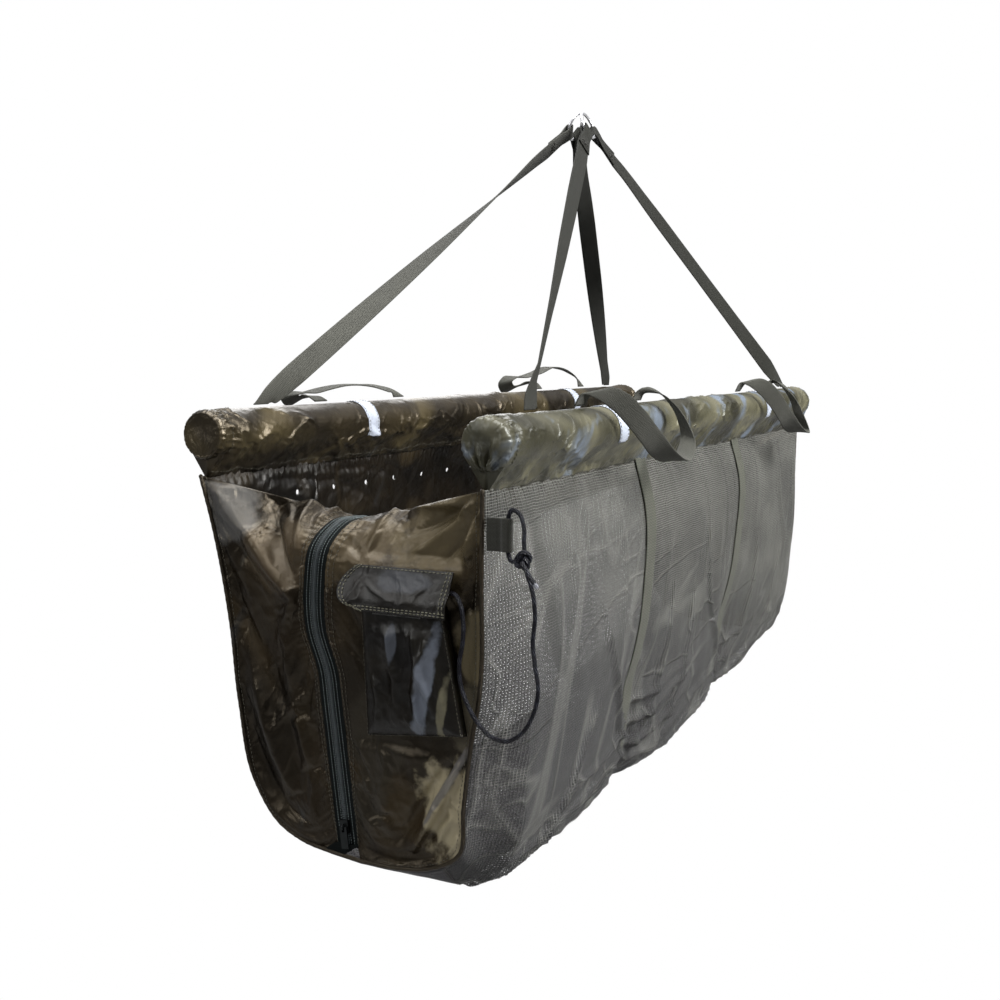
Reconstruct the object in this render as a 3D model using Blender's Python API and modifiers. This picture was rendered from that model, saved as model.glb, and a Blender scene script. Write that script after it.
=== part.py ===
"""A floating retainer sling: a mesh and camouflage fabric bag that hangs between two foam floats.

The origin is the hook point in the two weigh rings. X runs along the floats with the pocket end
at -X, Y runs across the mouth and Z is up. All lengths are in metres.
"""

import math
from functools import partial

import bmesh
import bpy
import numpy as np
from mathutils import Matrix, Vector

# Floats and their sleeves
FLOAT_LENGTH = 1.2
FLOAT_SPACING = 0.314
FOAM_RADIUS = 0.024
SLEEVE_WALL = 0.0012
CAP_BULGE = 0.009
FLANGE_DEPTH = 0.0145
FLANGE_WIDTH = 0.003
BAND_WIDTH = 0.025
BAND_THICKNESS = 0.0006
BAND_STATION = 0.313
BAND_OPENING = 35

# Bag
END_DEPTH = 0.409
MIDDLE_DEPTH = 0.475
CLOTH = 0.0014
SKIRT_DEPTH = 0.14
FLOOR_START = 0.8
CORNER_DEPTH = 0.045
DRAIN_PITCH = 0.074
DRAIN_RADIUS = 0.004
DRAIN_DROP = 0.038
DRAIN_COUNT = 15
WALL_STATIONS = (0.46, 0.37, 0.29, 0.09)

# Webbing
WEBBING_WIDTH = 0.025
WEBBING_THICKNESS = 0.0016
BELLY_WIDTH = 0.032
BELLY_STATION = 0.2
HANDLE_STATION = 0.3
TAB_HEIGHT = 0.03
TAB_LENGTH = 0.021

# Lift straps and weigh rings
HOOK_HEIGHT = 0.396
ANCHOR_STATION = 0.5
RING_RADIUS = 0.0172
RING_WIRE = 0.002
RING_APART = 0.0033
STRAP_AT_RING = 0.018
STRAP_OVERLAP = 0.05
STRAP_FOOT = 0.022
TURN_START = 0.06
LOOP_REACH = 0.018
LOOP_SLACK = 0.0048
LOOP_TURN = 0.0015

# Zips
COIL_WIDTH = 0.0055
COIL_THICKNESS = 0.0026
TAPE_WIDTH = 0.008
TAPE_THICKNESS = 0.001
SLIDER_LENGTH = 0.013
SLIDER_REST = 0.014
SLIDER_HEIGHT = 0.0045
SLIDER_WALL = 0.0014
CHANNEL_GAP = 0.0006
PULL_LENGTH = 0.021
PULL_WIDTH = 0.008
PULL_THICKNESS = 0.0014
PULL_LIFT = 0.0013
HOOP_REACH = 0.0026
HOOP_RISE = 0.0043
HOOP_WIRE = 0.0008

# Pocket
POUCH_DEPTH = 0.0145
POUCH_CORNERS = [(0, 0), (0.006, -0.13), (0.108, -0.118), (0.086, 0)]
POUCH_WALL = 0.0012
FLAP_LENGTH = 0.046
FLAP_WIDTH = 0.118
FLAP_REACH = 0.022
FLAP_ROUNDING = 0.016
FLAP_CORNER = 0.012
FLAP_HINGE_DROP = 0.115
POUCH_DROP = 0.147
POCKET_INSET = 0.034
PATCH_INSET = 0.019
PATCH_WIDTH = 0.05
PATCH_HEIGHT = 0.009
PATCH_THICKNESS = 0.001

# Retention cord
CORD_RADIUS = 0.002
HANK_TURNS = 4
HANK_PITCH = 0.0046
HANK_INNER_RADIUS = 0.01
HANK_STRAIGHT = 0.044
LOOP_POINTS = 24
ARC_POINTS = 8
HANK_MIDDLE = (0.05, -0.068)

# Gaps between neighbours
CLEARANCE = 0.0003
SEAM_GAP = 0.0012
STRAP_STANDOFF = 0.0022

HALF_SPACING = FLOAT_SPACING / 2
SLEEVE_RADIUS = FOAM_RADIUS + CLEARANCE + SLEEVE_WALL
FLOAT_TOP = SLEEVE_RADIUS + CLEARANCE
WALL_TOP = -(SLEEVE_RADIUS + FLANGE_DEPTH + CLEARANCE)
END_X = FLOAT_LENGTH / 2
FOLD_X = END_X - CORNER_DEPTH
ENDS = {"front": -1, "rear": 1}
SIDES = {"left": 1, "right": -1}

# Half sections of the bag, from the float down the wall to the middle of the floor: the wall's
# points, then the floor's. A wall's point is its distance outward from the float's centre line
# and its share of the depth. A floor's point has its share of the half width instead.
MIDDLE_SECTION = (
    [(0.0, 0.0), (0.015, 0.13), (0.016, 0.34), (0.011, 0.58), (-0.002, 0.77)],
    [(0.84, 0.91), (0.53, 0.98), (0.0, 1.0)],
)
PLAIN_SECTION = (
    [(-0.001, 0.0), (-0.013, 0.12), (-0.033, 0.39), (-0.042, 0.61), (-0.059, 0.82)],
    [(0.42, 0.94), (0.21, 0.975), (0.0, 1.0)],
)
END_SECTIONS = {
    (-1, -1): (
        [(0.0, 0.0), (0.013, 0.17), (0.025, 0.43), (0.025, 0.72), (0.014, 0.92)],
        [(0.9, 1.03), (0.45, 1.05), (0.0, 1.04)],
    ),
    (1, -1): (
        [(0.0, 0.0), (0.011, 0.12), (0.012, 0.3), (0.007, 0.6), (-0.006, 0.84)],
        [(0.84, 0.96), (0.45, 1.01), (0.0, 1.02)],
    ),
    (-1, 1): PLAIN_SECTION,
    (1, 1): PLAIN_SECTION,
}

# An end cap's half outline: shares of its radius and its bulge
CAP_PROFILE = [(0, 1), (0.55, 0.86), (0.85, 0.5), (1, 0.2), (1, 0), (0, 0)]

# How far the belly straps draw the cloth in, at these shares of a half section
PINCH_SHARES = (0.1, 0.35, 0.6, 0.8, 1)
PINCH_DEPTHS = (0, 0.012, 0.03, 0.024, 0.0)
PINCH_REACH = 0.06

# The outline of an end panel in the same terms. Its right side meets the mesh gusset.
PANEL_OUTLINES = {
    -1: (
        [(0.001, 0.0), (0.0, 0.2), (-0.002, 0.5), (-0.012, 0.65), (-0.019, 0.8), (-0.024, 0.92)],
        [(0.64, 0.972), (0.45, 0.986), (0.16, 0.988)],
    ),
    1: (
        [(-0.001, 0.0), (-0.014, 0.12), (-0.034, 0.39), (-0.043, 0.61), (-0.06, 0.82)],
        [(0.42, 0.93), (0.26, 0.962), (0.03, 0.98)],
    ),
}

# The zip's line: distance from the end face inward, across, and its share of the end depth
ZIP_LINE = [
    (0.072, 0.012, 0.11),
    (0.03, 0.014, 0.115),
    (0.004, 0.018, 0.165),
    (0.0, 0.023, 0.27),
    (0.0, 0.022, 0.38),
    (0.0, 0.008, 0.5),
    (0.0, 0.0049, 0.57),
    (0.0, -0.0121, 0.955),
]

# Handle routes: along from the handle's middle, outward from the float's centre line, up from
# it, and the direction across the webbing in the same terms
RIGHT_HANDLE = [
    ((-0.083, 0.002, 0.0), (1, 0, 0)),
    ((-0.08, 0.009, 0.012), (1, 0.1, 0)),
    ((-0.065, 0.021, 0.0135), (0.75, 0.5, 0.4)),
    ((-0.05, 0.034, 0.004), (0.5, 0.6, 0.6)),
    ((-0.03, 0.045, -0.014), (0.45, 0.6, 0.65)),
    ((-0.008, 0.053, -0.034), (0.45, 0.55, 0.7)),
    ((0.024, 0.058, -0.055), (0.2, 0.9, 0.4)),
    ((0.06, 0.06, -0.065), (0.0, 1.0, 0.1)),
    ((0.1, 0.058, -0.06), (-0.3, 0.9, -0.3)),
    ((0.124, 0.053, -0.042), (-0.3, 0.85, -0.45)),
    ((0.128, 0.042, -0.018), (-0.3, 0.75, -0.5)),
    ((0.12, 0.028, 0.002), (0.1, 0.8, -0.6)),
    ((0.099, 0.013, 0.011), (0.8, 0.4, -0.2)),
    ((0.094, 0.004, 0.008), (1, 0.1, 0)),
    ((0.09, 0.002, 0.0), (1, 0, 0)),
]
LEFT_HANDLE = [
    ((-0.085, 0.002, 0.0), (1, 0, 0)),
    ((-0.087, 0.009, 0.009), (1, 0.1, 0)),
    ((-0.1, 0.022, 0.008), (0.6, 0.8, -0.3)),
    ((-0.122, 0.03, 0.001), (0, 1, -0.5)),
    ((-0.14, 0.031, 0.002), (0, 1, -0.4)),
    ((-0.148, 0.03, 0.01), (0, 1, -0.2)),
    ((-0.137, 0.028, 0.018), (0, 1, 0)),
    ((-0.105, 0.024, 0.018), (0, 1, 0)),
    ((-0.06, 0.02, 0.024), (0, 1, 0)),
    ((-0.012, 0.018, 0.033), (0.1, 1, 0)),
    ((0.03, 0.015, 0.03), (0.2, 1, 0.1)),
    ((0.065, 0.011, 0.021), (0.45, 0.9, 0.3)),
    ((0.083, 0.007, 0.012), (0.9, 0.4, 0.1)),
    ((0.087, 0.002, 0.0), (1, 0, 0)),
]
REAR_HANDLE_REACH = 0.78
FRONT_HANDLE_RISE = 0.5
FRONT_HANDLE_REACH = 0.72
HANDLE_FOOT = 0.0006

# The cord's route from the knot to the pocket, at the front right corner: distance in front of
# the end face, outward from the middle, and down from the float's centre
CORD_ROUTE = [
    (0.006, -0.2085, -0.122),
    (0.005, -0.2115, -0.147),
    (0.005, -0.2095, -0.171),
    (0.006, -0.2125, -0.194),
    (0.007, -0.2155, -0.209),
    (0.008, -0.2115, -0.234),
    (0.009, -0.2, -0.253),
    (0.01, -0.187, -0.261),
    (0.0105, -0.1715, -0.259),
    (0.0105, -0.159, -0.249),
    (0.0105, -0.1475, -0.232),
    (0.0105, -0.1405, -0.213),
    (0.0105, -0.1395, -0.196),
    (0.0105, -0.143, -0.176),
    (0.0105, -0.1435, -0.156),
    (0.0105, -0.1405, -0.141),
    (0.0095, -0.1335, -0.1325),
    (0.0085, -0.1245, -0.1315),
    (0.0075, -0.1165, -0.136),
]
CORD_LOOP = [
    (0.0035, -0.2, -0.083),
    (0.002, -0.199, -0.069),
    (0.0015, -0.1935, -0.0575),
    (0.0012, -0.1875, -0.0555),
    (0.001, -0.184, -0.0615),
    (0.001, -0.184, -0.068),
    (0.001, -0.184, -0.078),
    (0.001, -0.184, -0.088),
    (0.001, -0.184, -0.0955),
    (0.0015, -0.1865, -0.1005),
]
CORD_TAIL = [(0.0155, -0.2065, -0.104), (0.017, -0.2125, -0.1135)]

# The knot's middle in the same terms, its size in each direction, and where cords leave it
KNOT_PLACE = (0.006, -0.2005, -0.0985)
KNOT_SIZE = (0.0056, 0.0059, 0.0068)
LOOP_EXITS = [(-0.2, 0, 1), (-0.45, 1, -0.2)]
CORD_EXIT = (0, -0.3, -1)
TAIL_EXIT = (1, -0.35, -0.15)


def fresh_scene():
    for old in list(bpy.data.objects):
        bpy.data.objects.remove(old)
    for name in ("floating retainer sling", "cutters"):
        bpy.context.scene.collection.children.link(bpy.data.collections.new(name))


def make_material(name, colour, roughness, metallic=0.0):
    """A plain finish of one colour."""
    finish = bpy.data.materials.new(name)
    finish.use_nodes = True
    shader = finish.node_tree.nodes["Principled BSDF"]
    shader.inputs["Base Color"].default_value = (*colour, 1)
    shader.inputs["Roughness"].default_value = roughness
    shader.inputs["Metallic"].default_value = metallic
    return finish


def place(name, data, finish, parent=None, cutter=False):
    """Links an object that is placed in world space, and keeps it there under its parent."""
    made = bpy.data.objects.new(name, data)
    home = "cutters" if cutter else "floating retainer sling"
    bpy.data.collections[home].objects.link(made)
    if finish:
        data.materials.append(finish)
    if parent:
        made.parent = parent
        made.matrix_parent_inverse = Matrix.Translation(parent.location).inverted()
    if cutter:
        made.hide_render = True
        made.display_type = "WIRE"
    return made


def make_pivot(name, point, parent=None):
    """An empty on a joint's axis, which carries the body that turns or slides there."""
    pivot = bpy.data.objects.new(name, None)
    bpy.data.collections["floating retainer sling"].objects.link(pivot)
    pivot.location = point
    if parent:
        pivot.parent = parent
        pivot.matrix_parent_inverse = Matrix.Translation(parent.location).inverted()
    return pivot


def smooth_along(points, shares):
    """Reads a smooth curve through the points at the given shares of its length.

    Columns past the third are carried along with the point.
    """
    knots = np.array(points, float)
    steps = np.linalg.norm(np.diff(knots[:, :3], axis=0), axis=1)
    slopes = np.diff(knots, axis=0) / steps[:, None]
    before, after = steps[:-1, None], steps[1:, None]
    inner = (slopes[:-1] * after + slopes[1:] * before) / (before + after)
    tangents = np.vstack([slopes[:1], inner, slopes[-1:]])
    starts = np.concatenate([[0], np.cumsum(steps)])
    fine = np.linspace(0, starts[-1], 600)
    span = np.clip(np.searchsorted(starts, fine, side="right") - 1, 0, len(steps) - 1)
    u = ((fine - starts[span]) / steps[span])[:, None]
    h = steps[span][:, None]
    curve = (
        (2 * u**3 - 3 * u**2 + 1) * knots[span]
        + (u**3 - 2 * u**2 + u) * h * tangents[span]
        + (3 * u**2 - 2 * u**3) * knots[span + 1]
        + (u**3 - u**2) * h * tangents[span + 1]
    )
    walked = np.linalg.norm(np.diff(curve[:, :3], axis=0), axis=1)
    run = np.concatenate([[0], np.cumsum(walked)])
    wanted = np.array(shares) * run[-1]
    return np.stack([np.interp(wanted, run, column) for column in curve.T], axis=1)


def make_shell(name, rows, thickness, finish, parent=None):
    """A cloth of even thickness through rows of points."""
    across, down = len(rows[0]), len(rows)
    sheet = bmesh.new()
    bmesh.ops.create_grid(sheet, x_segments=across - 1, y_segments=down - 1)
    for vertex, point in zip(sheet.verts, (p for row in rows for p in row), strict=True):
        vertex.co = point
    mesh = bpy.data.meshes.new(name)
    sheet.to_mesh(mesh)
    sheet.free()
    shell = place(name, mesh, finish, parent)
    solid = shell.modifiers.new("thickness", "SOLIDIFY")
    solid.thickness = thickness
    solid.offset = 0
    return shell


def make_strip(name, centres, acrosses, widths, thickness, finish, parent=None):
    """A flat strip of webbing or tape along a row of centre points."""
    halves = [Vector(a) * (w / 2) for a, w in zip(acrosses, widths, strict=True)]
    low = [Vector(c) - h for c, h in zip(centres, halves, strict=True)]
    high = [Vector(c) + h for c, h in zip(centres, halves, strict=True)]
    return make_shell(name, [low, high], thickness, finish, parent)


def make_plate(name, outlines, start, end, turn, finish, parent=None, cutter=False):
    """A flat outline, with any holes, that runs from start to end along its own normal."""
    flat = bpy.data.curves.new(name, "CURVE")
    flat.dimensions = "2D"
    flat.fill_mode = "BOTH"
    flat.extrude = (end - start) / 2
    for outline in outlines:
        line = flat.splines.new("POLY")
        line.points.add(len(outline) - 1)
        for point, (u, v) in zip(line.points, outline, strict=True):
            point.co = (u, v, 0, 1)
        line.use_cyclic_u = True
    drawn = place(name + "_outline", flat, None)
    drawn.matrix_world = turn @ Matrix.Translation((0, 0, (start + end) / 2))
    return meshed(name, drawn, finish, parent, cutter)


def meshed(name, drawn, finish, parent=None, cutter=False):
    """Makes a mesh object from a curve, with its caps welded on."""
    bpy.context.view_layer.update()
    graph = bpy.context.evaluated_depsgraph_get()
    mesh = bpy.data.meshes.new_from_object(drawn.evaluated_get(graph))
    mesh.transform(drawn.matrix_world)
    data = drawn.data
    bpy.data.objects.remove(drawn)
    bpy.data.curves.remove(data)
    welded = bmesh.new()
    welded.from_mesh(mesh)
    bmesh.ops.remove_doubles(welded, verts=welded.verts, dist=1e-6)
    bmesh.ops.recalc_face_normals(welded, faces=welded.faces)
    welded.to_mesh(mesh)
    welded.free()
    mesh.name = name
    return place(name, mesh, finish, parent, cutter)


def make_tube(name, points, radius, sides_step, finish, parent=None):
    """A round cord or wire along a line of points, closed at both ends."""
    path = bpy.data.curves.new(name, "CURVE")
    path.dimensions = "3D"
    path.bevel_depth = radius
    path.bevel_resolution = sides_step
    path.use_fill_caps = True
    line = path.splines.new("POLY")
    line.points.add(len(points) - 1)
    for point, co in zip(line.points, points, strict=True):
        point.co = (*co, 1)
    return place(name, path, finish, parent)


def make_turned(name, profile, turn, finish, parent=None):
    """A round piece from a profile of radius and height, turned about its own Z."""
    mesh = bpy.data.meshes.new(name)
    line = bmesh.new()
    previous = None
    for radius, height in profile:
        vertex = line.verts.new((radius, 0, height))
        if previous:
            line.edges.new((previous, vertex))
        previous = vertex
    line.to_mesh(mesh)
    line.free()
    made = place(name, mesh, finish, parent)
    made.matrix_world = turn
    lathe = made.modifiers.new("lathe", "SCREW")
    lathe.steps = lathe.render_steps = 24
    lathe.use_merge_vertices = True
    lathe.merge_threshold = 0.00005
    return made


def cut(piece, cutter, operation="DIFFERENCE"):
    step = piece.modifiers.new(operation.lower(), "BOOLEAN")
    step.operation = operation
    step.object = cutter


def below_float(share, depth):
    """The height of a point at a share of the bag's depth under its top edge."""
    return WALL_TOP - share * (depth + WALL_TOP)


def half_section(section, depth, share):
    """A point of a half section: outward from the middle plane, and up from the float's centre."""
    wall, floor = section
    points = [(HALF_SPACING + out, below_float(down, depth)) for out, down in wall]
    points += [(HALF_SPACING * out, below_float(down, depth)) for out, down in floor]
    return smooth_along(points, [share])[0]


def wall_point(side, x, share):
    """A point of the bag's cloth on one side, at a station along the floats."""
    middle_share = math.cos(math.pi * x / FLOAT_LENGTH) ** 2
    end = half_section(END_SECTIONS[(-1 if x < 0 else 1, side)], END_DEPTH, share)
    middle = half_section(MIDDLE_SECTION, MIDDLE_DEPTH, share)
    out, up = end + (middle - end) * middle_share
    near_strap = math.exp(-(((abs(x) - BELLY_STATION) / PINCH_REACH) ** 2))
    pinch = near_strap * np.interp(share, PINCH_SHARES, PINCH_DEPTHS)
    inward = 2 * pinch * min(share, 1 - share)
    return Vector((x, side * (out - inward), up - HOOK_HEIGHT + pinch * share**3))


def panel_edge(end, side, share):
    """A point of an end panel's outline. The gusset is on the right of the bag."""
    out, up = half_section(PANEL_OUTLINES[side], END_DEPTH, share)
    return Vector((end * END_X, side * out, up - HOOK_HEIGHT))


def outward(point_at, side, share):
    """The direction out of the bag, across a line that point_at gives for each share."""
    step = 0.01
    along = point_at(min(share + step, 1)) - point_at(max(share - step, 0))
    return Vector((0, -along.z, along.y)).normalized() * side


def zip_point(end, share):
    """A point of a zip's middle line. The rear zip mirrors the front one."""
    line = [
        (end * (END_X - inward), across, below_float(down, END_DEPTH) - HOOK_HEIGHT)
        for inward, across, down in ZIP_LINE
    ]
    return Vector(smooth_along(line, [share])[0])


def wall_stations():
    """Places along the bag, with one on each edge of the belly straps."""
    strap_edges = [BELLY_STATION - BELLY_WIDTH / 2, BELLY_STATION + BELLY_WIDTH / 2]
    half = sorted([FOLD_X, *WALL_STATIONS, *strap_edges])
    return [-x for x in half[::-1]] + [0] + half


def cloth_shares():
    """Rows down the bag, as shares of a half section, for each piece of cloth."""
    skirt_end = SKIRT_DEPTH / girth()
    gap = SEAM_GAP / girth()
    skirt = list(np.linspace(0, skirt_end, 6))
    left = list(np.linspace(skirt_end + gap, FLOOR_START - gap, 7))
    floor = list(np.linspace(FLOOR_START + gap, 1, 5))
    return {"skirt": skirt, "left": left, "right": skirt[:-1] + left, "floor": floor}


def whole_side_shares(side):
    """Rows down one side of the bag, from the float to the middle of the floor."""
    shares = cloth_shares()
    upper = shares["right"] if side < 0 else shares["skirt"] + shares["left"]
    return upper + shares["floor"]


def side_rows(side, shares):
    """Rows of points over a stretch of one side, from the front panel's edge to the rear one's."""
    rows = []
    for share in shares:
        row = []
        for end in (-1, 1):
            out = outward(partial(panel_edge, end, side), side, share)
            row.append(panel_edge(end, side, share) + out * SEAM_GAP)
        stations = [wall_point(side, x, share) for x in wall_stations()]
        rows.append([row[0], *stations, row[1]])
    return rows


def girth():
    """The length of the cloth from float to the middle of the floor, halfway along the bag."""
    line = [half_section(MIDDLE_SECTION, MIDDLE_DEPTH, share) for share in np.linspace(0, 1, 60)]
    return np.linalg.norm(np.diff(line, axis=0), axis=1).sum()


def build_floats(finishes):
    """Foam cores in sewn sleeves, closed by round end caps, with reflective bands."""
    cap_base = END_X - CAP_BULGE
    half_core = cap_base - 2 * CLEARANCE
    to_world = Matrix(((0, 0, 1, 0), (1, 0, 0, 0), (0, 1, 0, 0), (0, 0, 0, 1)))
    for side_name, side in SIDES.items():
        centre = Matrix.Translation((0, side * HALF_SPACING, -HOOK_HEIGHT))
        core = bmesh.new()
        bmesh.ops.create_cone(
            core,
            cap_ends=True,
            segments=24,
            radius1=FOAM_RADIUS,
            radius2=FOAM_RADIUS,
            depth=2 * half_core,
            matrix=centre @ Matrix.Rotation(math.pi / 2, 4, "Y"),
        )
        mesh = bpy.data.meshes.new("core")
        core.to_mesh(mesh)
        core.free()
        place(f"{side_name}_float_core", mesh, finishes["foam"])

        tail = math.asin(FLANGE_WIDTH / SLEEVE_RADIUS)
        outside = arc(SLEEVE_RADIUS, tail - math.pi / 2, 3 * math.pi / 2 - tail, 24)
        foot = -(SLEEVE_RADIUS + FLANGE_DEPTH)
        outside += [(-FLANGE_WIDTH / 2, foot + FLANGE_DEPTH / 2), (-FLANGE_WIDTH / 2, foot)]
        outside += [(FLANGE_WIDTH / 2, foot), (FLANGE_WIDTH / 2, foot + FLANGE_DEPTH / 2)]
        inside = arc(SLEEVE_RADIUS - SLEEVE_WALL, 0, 2 * math.pi, 24)[:-1]
        reach = cap_base - CLEARANCE
        turn = centre @ to_world
        sleeve = f"{side_name}_float_sleeve"
        make_plate(sleeve, [outside, inside], -reach, reach, turn, finishes["camouflage"])

        for end_name, end in ENDS.items():
            profile = [(SLEEVE_RADIUS * r, CAP_BULGE * h) for r, h in CAP_PROFILE]
            facing = Matrix.Rotation(end * math.pi / 2, 4, "Y")
            seat = centre @ Matrix.Translation((end * cap_base, 0, 0)) @ facing
            make_turned(f"{side_name}_{end_name}_end_cap", profile, seat, finishes["camouflage"])

            inner = SLEEVE_RADIUS + CLEARANCE
            open_angle = math.radians(BAND_OPENING)
            span = (open_angle - math.pi / 2, 3 * math.pi / 2 - open_angle)
            band = arc(inner + BAND_THICKNESS, *span, 20) + arc(inner, *span, 20)[::-1]
            middle = end * BAND_STATION
            make_plate(
                f"{side_name}_{end_name}_reflective_band",
                [band],
                middle - BAND_WIDTH / 2,
                middle + BAND_WIDTH / 2,
                turn,
                finishes["reflective"],
            )


def arc(radius, start, end, steps):
    angles = np.linspace(start, end, steps + 1)
    return [(radius * math.cos(a), radius * math.sin(a)) for a in angles]


def build_bag(finishes):
    """Side walls, the left skirt with its drain holes, and the floor."""
    shares = cloth_shares()
    make_shell("right_mesh_side", side_rows(-1, shares["right"]), CLOTH, finishes["mesh"])
    make_shell("left_mesh_side", side_rows(1, shares["left"]), CLOTH, finishes["mesh"])
    skirt_rows = side_rows(1, shares["skirt"])
    skirt = make_shell("left_skirt", skirt_rows, CLOTH, finishes["camouflage"])
    drills = bmesh.new()
    for place_in_row in range(DRAIN_COUNT):
        x = (place_in_row - (DRAIN_COUNT - 1) / 2) * DRAIN_PITCH
        centre = wall_point(1, x, DRAIN_DROP / girth())
        bmesh.ops.create_cone(
            drills,
            cap_ends=True,
            segments=10,
            radius1=DRAIN_RADIUS,
            radius2=DRAIN_RADIUS,
            depth=30 * CLOTH,
            matrix=Matrix.Translation(centre) @ Matrix.Rotation(math.pi / 2, 4, "X"),
        )
    drill_mesh = bpy.data.meshes.new("drain_drills")
    drills.to_mesh(drill_mesh)
    drills.free()
    cut(skirt, place("drain_drills", drill_mesh, None, cutter=True))

    right_half = side_rows(-1, shares["floor"])
    for column, end in ((0, -1), (-1, 1)):
        middle = (panel_edge(end, -1, 1) + panel_edge(end, 1, 1)) / 2
        right_half[-1][column] = middle - Vector((0, 0, 2 * SEAM_GAP))
    left_half = side_rows(1, shares["floor"][:-1])[::-1]
    make_shell("floor_panel", right_half + left_half, CLOTH, finishes["floor"])


def build_belly_straps(finishes):
    """Webbing that runs from float to float under the bag, on the outside of the cloth."""
    lift = CLOTH / 2 + WEBBING_THICKNESS / 2 + STRAP_STANDOFF
    edge = BELLY_WIDTH / 2
    rows = [(-1, share) for share in whole_side_shares(-1)]
    rows += [(1, share) for share in whole_side_shares(1)[-2::-1]]
    for end_name, end in ENDS.items():
        x = end * BELLY_STATION
        centres, acrosses = [], []
        for side, share in rows:
            near, far = (wall_point(side, x + step, share) for step in (-edge, edge))
            down = Vector((0, 0, -1))
            out = outward(partial(wall_point, side, x), side, share) if share < 1 else down
            centres.append((near + far) / 2 + out * lift)
            acrosses.append((far - near).normalized())
        widths = [BELLY_WIDTH] * len(centres)
        name = f"{end_name}_belly_strap"
        make_strip(name, centres, acrosses, widths, WEBBING_THICKNESS, finishes["pale_webbing"])


def build_ends(finishes):
    """End panels in two halves, with the zip's tapes and coil between them."""
    shares = whole_side_shares(-1)
    tape_middle = COIL_WIDTH / 2 + SEAM_GAP / 2 + TAPE_WIDTH / 2
    panel_start = tape_middle + TAPE_WIDTH / 2 + SEAM_GAP / 2
    for end_name, end in ENDS.items():
        line = [zip_point(end, share) for share in shares]
        along = [Vector((0, 1, 0))] * len(line)
        coil = f"{end_name}_zip_coil"
        widths = [COIL_WIDTH] * len(line)
        make_strip(coil, line, along, widths, COIL_THICKNESS, finishes["zip"])
        for side_name, side in SIDES.items():
            centres = [point + Vector((0, side * tape_middle, 0)) for point in line]
            tape = f"{end_name}_{side_name}_zip_tape"
            widths = [TAPE_WIDTH] * len(line)
            make_strip(tape, centres, along, widths, TAPE_THICKNESS, finishes["tape"])
            rows = []
            for share, point in zip(shares, line, strict=True):
                inner = point + Vector((0, side * panel_start, 0))
                out = outward(partial(panel_edge, end, side), side, share)
                outer = panel_edge(end, side, share) - out * SEAM_GAP / 2
                rows.append([inner.lerp(outer, t) for t in np.linspace(0, 1, 6)])
            make_shell(f"{end_name}_{side_name}_end_panel", rows, CLOTH, finishes["camouflage"])


def zip_direction(end):
    """Up along the zip's straight lower run, between the last two points of its line."""
    return (zip_point(end, 0.9) - zip_point(end, 1)).normalized()


def build_sliders(finishes):
    """Zip sliders, closed at the bottom of each zip, with hinged pulls."""
    for end_name, end in ENDS.items():
        up = zip_direction(end)
        out = Vector((end, 0, 0))
        across = up.cross(out)
        foot = zip_point(end, 1) + up * (SLIDER_LENGTH / 2 + SLIDER_REST)
        home = Matrix.Translation(foot) @ Matrix((across, out, up)).transposed().to_4x4()
        pivot = make_pivot(f"{end_name}_slider_pivot", foot)
        coil_top = COIL_THICKNESS / 2 + CHANNEL_GAP
        tape_top = TAPE_THICKNESS / 2 + CHANNEL_GAP
        half = COIL_WIDTH / 2 + CHANNEL_GAP
        wide = half + SLIDER_WALL
        top = SLIDER_HEIGHT
        channel = [(-wide, tape_top), (-half, tape_top), (-half, coil_top), (half, coil_top)]
        channel += [(half, tape_top), (wide, tape_top), (wide, top), (-wide, top)]
        reach = SLIDER_LENGTH / 2
        body = make_plate(
            f"{end_name}_zip_slider", [channel], -reach, reach, home, finishes["metal"], pivot
        )
        hoop_points = [
            home @ Vector((0, top - HOOP_WIRE + HOOP_RISE * math.sin(a), HOOP_REACH * math.cos(a)))
            for a in np.linspace(0, math.pi, 9)
        ]
        hoop = make_tube(f"{end_name}_hoop", hoop_points, HOOP_WIRE, 1, None)
        hoop_tool = meshed(f"{end_name}_slider_hoop", hoop, None, cutter=True)
        cut(body, hoop_tool, "UNION")

        hinge_point = home @ Vector((0, top + PULL_LIFT, 0))
        pull_pivot = make_pivot(f"{end_name}_pull_pivot", hinge_point, pivot)
        half_bar = PULL_THICKNESS / 2
        window = half_bar + HOOP_REACH + HOOP_WIRE + 2 * CLEARANCE
        outline = [(-PULL_WIDTH / 2, half_bar), (-PULL_WIDTH / 2, -PULL_LENGTH)]
        outline += [(PULL_WIDTH / 2, -PULL_LENGTH), (PULL_WIDTH / 2, half_bar)]
        slot = HOOP_WIRE + 2 * CLEARANCE
        hole = [(-slot, -half_bar), (slot, -half_bar), (slot, -window), (-slot, -window)]
        flat = Matrix((across, up, across.cross(up))).transposed().to_4x4()
        seat = Matrix.Translation(hinge_point) @ flat
        name = f"{end_name}_zip_pull"
        make_plate(name, [outline, hole], -half_bar, half_bar, seat, finishes["metal"], pull_pivot)


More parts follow.
